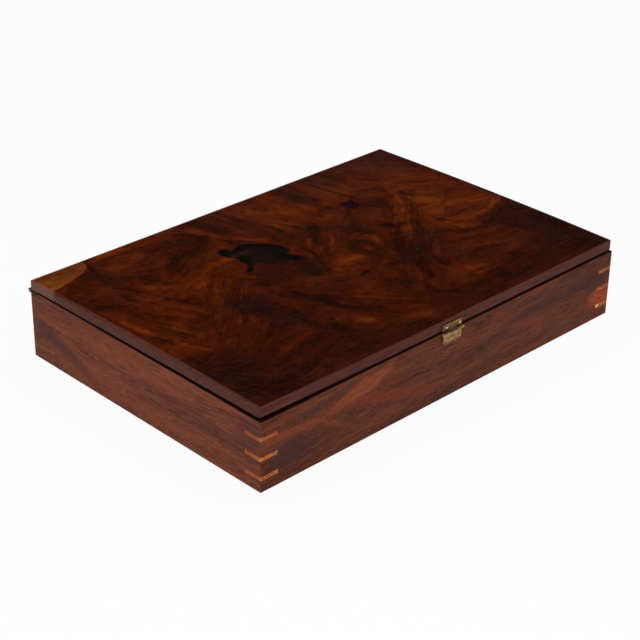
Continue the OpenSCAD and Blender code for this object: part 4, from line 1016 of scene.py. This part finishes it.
def make_lid():
    """The warped slab: two grids over its plan joined by a skirt round its edge."""
    lines_x, lines_y = grid_lines(LID_LEFT, LID_RIGHT), grid_lines(LID_FRONT, LID_BACK)
    plan_x, plan_y = np.meshgrid(lines_x, lines_y)
    rows, columns = plan_x.shape
    x, y, inside, out_x, out_y = rounded_plan(plan_x, plan_y)
    worn = worn_middle(y)
    # The arris on each side: how far it reaches in from the outline, and how far down
    across = by_side(out_x, out_y, 1.3 + 1.6 * worn, 3.2, 1.2, 3.2)
    down = by_side(out_x, out_y, 0.9 + 0.7 * worn, 1.9, 0.9, 1.9)
    top = lid_over(x, y) - arris_drop(inside, across, down)
    under = lid_under(x, y) + arris_drop(inside, 0.9, 0.9)
    outline = perimeter(rows, columns)
    rim_x, rim_y, rim_top, drop, rim_end = (
        field.ravel()[outline] for field in (x, y, top, under - top, np.abs(out_x)))
    skirt = [sheet_points(rim_x, rim_y, rim_top + drop * k / SKIRT_ROWS) for k in range(1, SKIRT_ROWS)]
    points = np.concatenate([sheet_points(x, y, top), sheet_points(x, y, under), *skirt])
    count, around = rows * columns, len(outline)
    loops = [outline]
    loops += [2 * count + k * around + np.arange(around) for k in range(SKIRT_ROWS - 1)]
    loops += [outline + count]
    quads = np.concatenate([grid_faces(rows, columns), grid_faces(rows, columns, count, flip=True),
                            *[strip_faces(a, b) for a, b in zip(loops, loops[1:])]])
    lid = mesh_piece("lid_slab", points, quads, lid_material())

    figure = Figure()
    for name in figure.fields:
        store(lid, name, figure.read(name, points[:, 0], points[:, 1]))
    # The edge's greyer wood starts a strip in from the outline and ends in a blur
    strip = by_side(out_x, out_y, 0.7 + 2.3 * worn, 0.7, 0.7, 0.7)
    blur = by_side(out_x, out_y, 2.2, 0.8, 0.8, 0.8)
    edge_top = 1 - np.clip((inside - strip) / np.maximum(blur, 1e-9) + 0.5, 0, 1)
    # Painted shade of the lid's gap: 1 on the lower arris and the underside at the outline, gone 1.2 mm in
    low = np.clip(1 - inside / 1.2, 0, 1)
    full = np.ones(around * (SKIRT_ROWS - 1))
    for name, on_top, below, on_skirt in (
            ("edge", edge_top, inside < 0.5, full),
            ("end", np.abs(out_x), np.abs(out_x), np.tile(rim_end, SKIRT_ROWS - 1)),
            ("low", np.zeros_like(low), low, np.zeros_like(full))):
        store(lid, name, np.concatenate([on_top.ravel(), below.ravel(), on_skirt]))
    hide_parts("lid_panel")
    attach(lid, "lid")


make_lid()


# Baize

BAIZE_GRID = (170, 112)
BAIZE_SEED = 5
WAVE_COUNT = 7
WAVE_HEIGHT = 0.12
EDGE_FALL, EDGE_WIDTH = 0.5, 0.8


def make_baize():
    """Felted wool laid on the floor: a thin sheet with shallow waves and a raised nap."""
    made, tree, shader, place = new_material("green baize")
    nap = tree.noise(place, 0.5, 4.0, 0.7)
    tufts = tree.noise(place, 4, 4.0, 0.65, 0.4)
    faded = tree.noise(place, 70, 3.0, 0.6)
    tone = tree.weigh((nap, 0.45), (tufts, 0.55))
    green = tree.ramp(tone, [(0.3, (30, 50, 38)), (0.55, (46, 72, 54)), (0.8, (66, 92, 70))])
    colour = tree.mix(tree.span(faded, 0.4, 0.7, 0.0, 0.35), green, (84, 90, 62))
    shader.inputs["Sheen Weight"].default_value = 0.35
    shader.inputs["Sheen Roughness"].default_value = 0.5
    cover(tree, shader, colour, 0.95, 0.1, bump(tree, tone, 0.35, 0.7))

    low, high = box_mm("baize_lining")
    columns, rows = BAIZE_GRID
    u, v = np.meshgrid(np.linspace(0, 1, columns), np.linspace(0, 1, rows))
    x, y = low[0] + (high[0] - low[0]) * u, low[1] + (high[1] - low[1]) * v
    random = np.random.default_rng(BAIZE_SEED)
    waves = sum(np.sin(x / random.uniform(9, 40) + random.uniform(0, 6))
                * np.sin(y / random.uniform(9, 40) + random.uniform(0, 6))
                for _ in range(WAVE_COUNT)) / WAVE_COUNT
    inside = np.minimum(np.minimum(x - low[0], high[0] - x), np.minimum(y - low[1], high[1] - y))
    top = high[2] - WAVE_HEIGHT * (1 + waves) - EDGE_FALL * np.exp(-inside / EDGE_WIDTH)
    under = np.full(x.shape, low[2])
    outline = perimeter(rows, columns)
    points = np.concatenate([sheet_points(x, y, top), sheet_points(x, y, under)])
    quads = np.concatenate([grid_faces(rows, columns), grid_faces(rows, columns, rows * columns, flip=True),
                            strip_faces(outline, outline + rows * columns)])
    baize = mesh_piece("baize_sheet", points, quads, made)
    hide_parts("baize_lining")
    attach(baize, "case")


make_baize()


# Studio

LIGHT_AIM = (0, 0, 0.04)
FLOOR_REACH = 40.0
# How much of the floor is its own white; the rest takes the box's shadow
FLOOR_GLOW = 0.88
WHITE = (1.0, 1.0, 1.0, 1.0)


def area_light(name, place, size, power):
    """A white rectangle of light aimed at the middle of the box."""
    data = bpy.data.lights.new(name, "AREA")
    data.shape = "RECTANGLE"
    data.size, data.size_y = size
    data.energy = power
    light = put(name, data)
    light.location = place
    light.rotation_mode = "QUATERNION"
    light.rotation_quaternion = (Vector(LIGHT_AIM) - Vector(place)).to_track_quat("-Z", "Y")


def seen_white(tree):
    """1 for the rays that should see a white background, 0 for those that carry light."""
    path = tree.node("ShaderNodeLightPath")
    seen = tree.highest(path.outputs["Is Camera Ray"], path.outputs["Is Glossy Ray"])
    return tree.highest(seen, path.outputs["Is Transmission Ray"])


def make_floor():
    """A wide pale floor, white to the eye, that keeps a little of the box's shadow."""
    made = bpy.data.materials.new("pale floor")
    made.use_nodes = True
    tree = Tree(made.node_tree)
    made.node_tree.nodes.clear()
    surface = tree.node("ShaderNodeBsdfDiffuse", {"Color": (0.85, 0.85, 0.85, 1.0)})
    white = tree.node("ShaderNodeEmission", {"Color": WHITE, "Strength": 1.0})
    share = tree.times(seen_white(tree), FLOOR_GLOW)
    both = tree.node("ShaderNodeMixShader", {0: share, 1: surface, 2: white})
    tree.node("ShaderNodeOutputMaterial", {"Surface": both})
    corners = [(x * FLOOR_REACH, y * FLOOR_REACH, 0) for x, y in ((-1, -1), (1, -1), (1, 1), (-1, 1))]
    mesh = bpy.data.meshes.new("floor")
    mesh.from_pydata(corners, [], [(0, 1, 2, 3)])
    mesh.materials.append(made)
    put("floor", mesh)


def make_world():
    """Soft light from all round. It is seen as white; what gloss shows of it is dim overhead."""
    world = bpy.data.worlds.new("studio")
    bpy.context.scene.world = world
    world.use_nodes = True
    tree = Tree(world.node_tree)
    direction = tree.node("ShaderNodeTexCoord").outputs["Generated"]
    height = tree.split(direction)["Z"]
    shown = tree.span(height, 0.19, 0.27, 1.0, 0.012)
    looked_at = tree.node("ShaderNodeLightPath").outputs["Is Camera Ray"]
    seen = tree.highest(shown, looked_at)
    background = world.node_tree.nodes["Background"]
    background.inputs["Color"].default_value = WHITE
    strength = tree.node("ShaderNodeMix", data_type="FLOAT")
    tree.feed(strength.inputs["Factor"], seen_white(tree))
    tree.feed(strength.inputs["A"], 0.38)
    tree.feed(strength.inputs["B"], seen)
    tree.feed(background.inputs["Strength"], strength)


make_floor()
make_world()
area_light("key", (-1.2, -1.2, 2.15), (1.9, 1.9), 52.0)
area_light("overhead", (0.5, 0.3, 2.4), (1.6, 1.6), 14.0)

scene = bpy.context.scene
scene.view_settings.view_transform = "Standard"
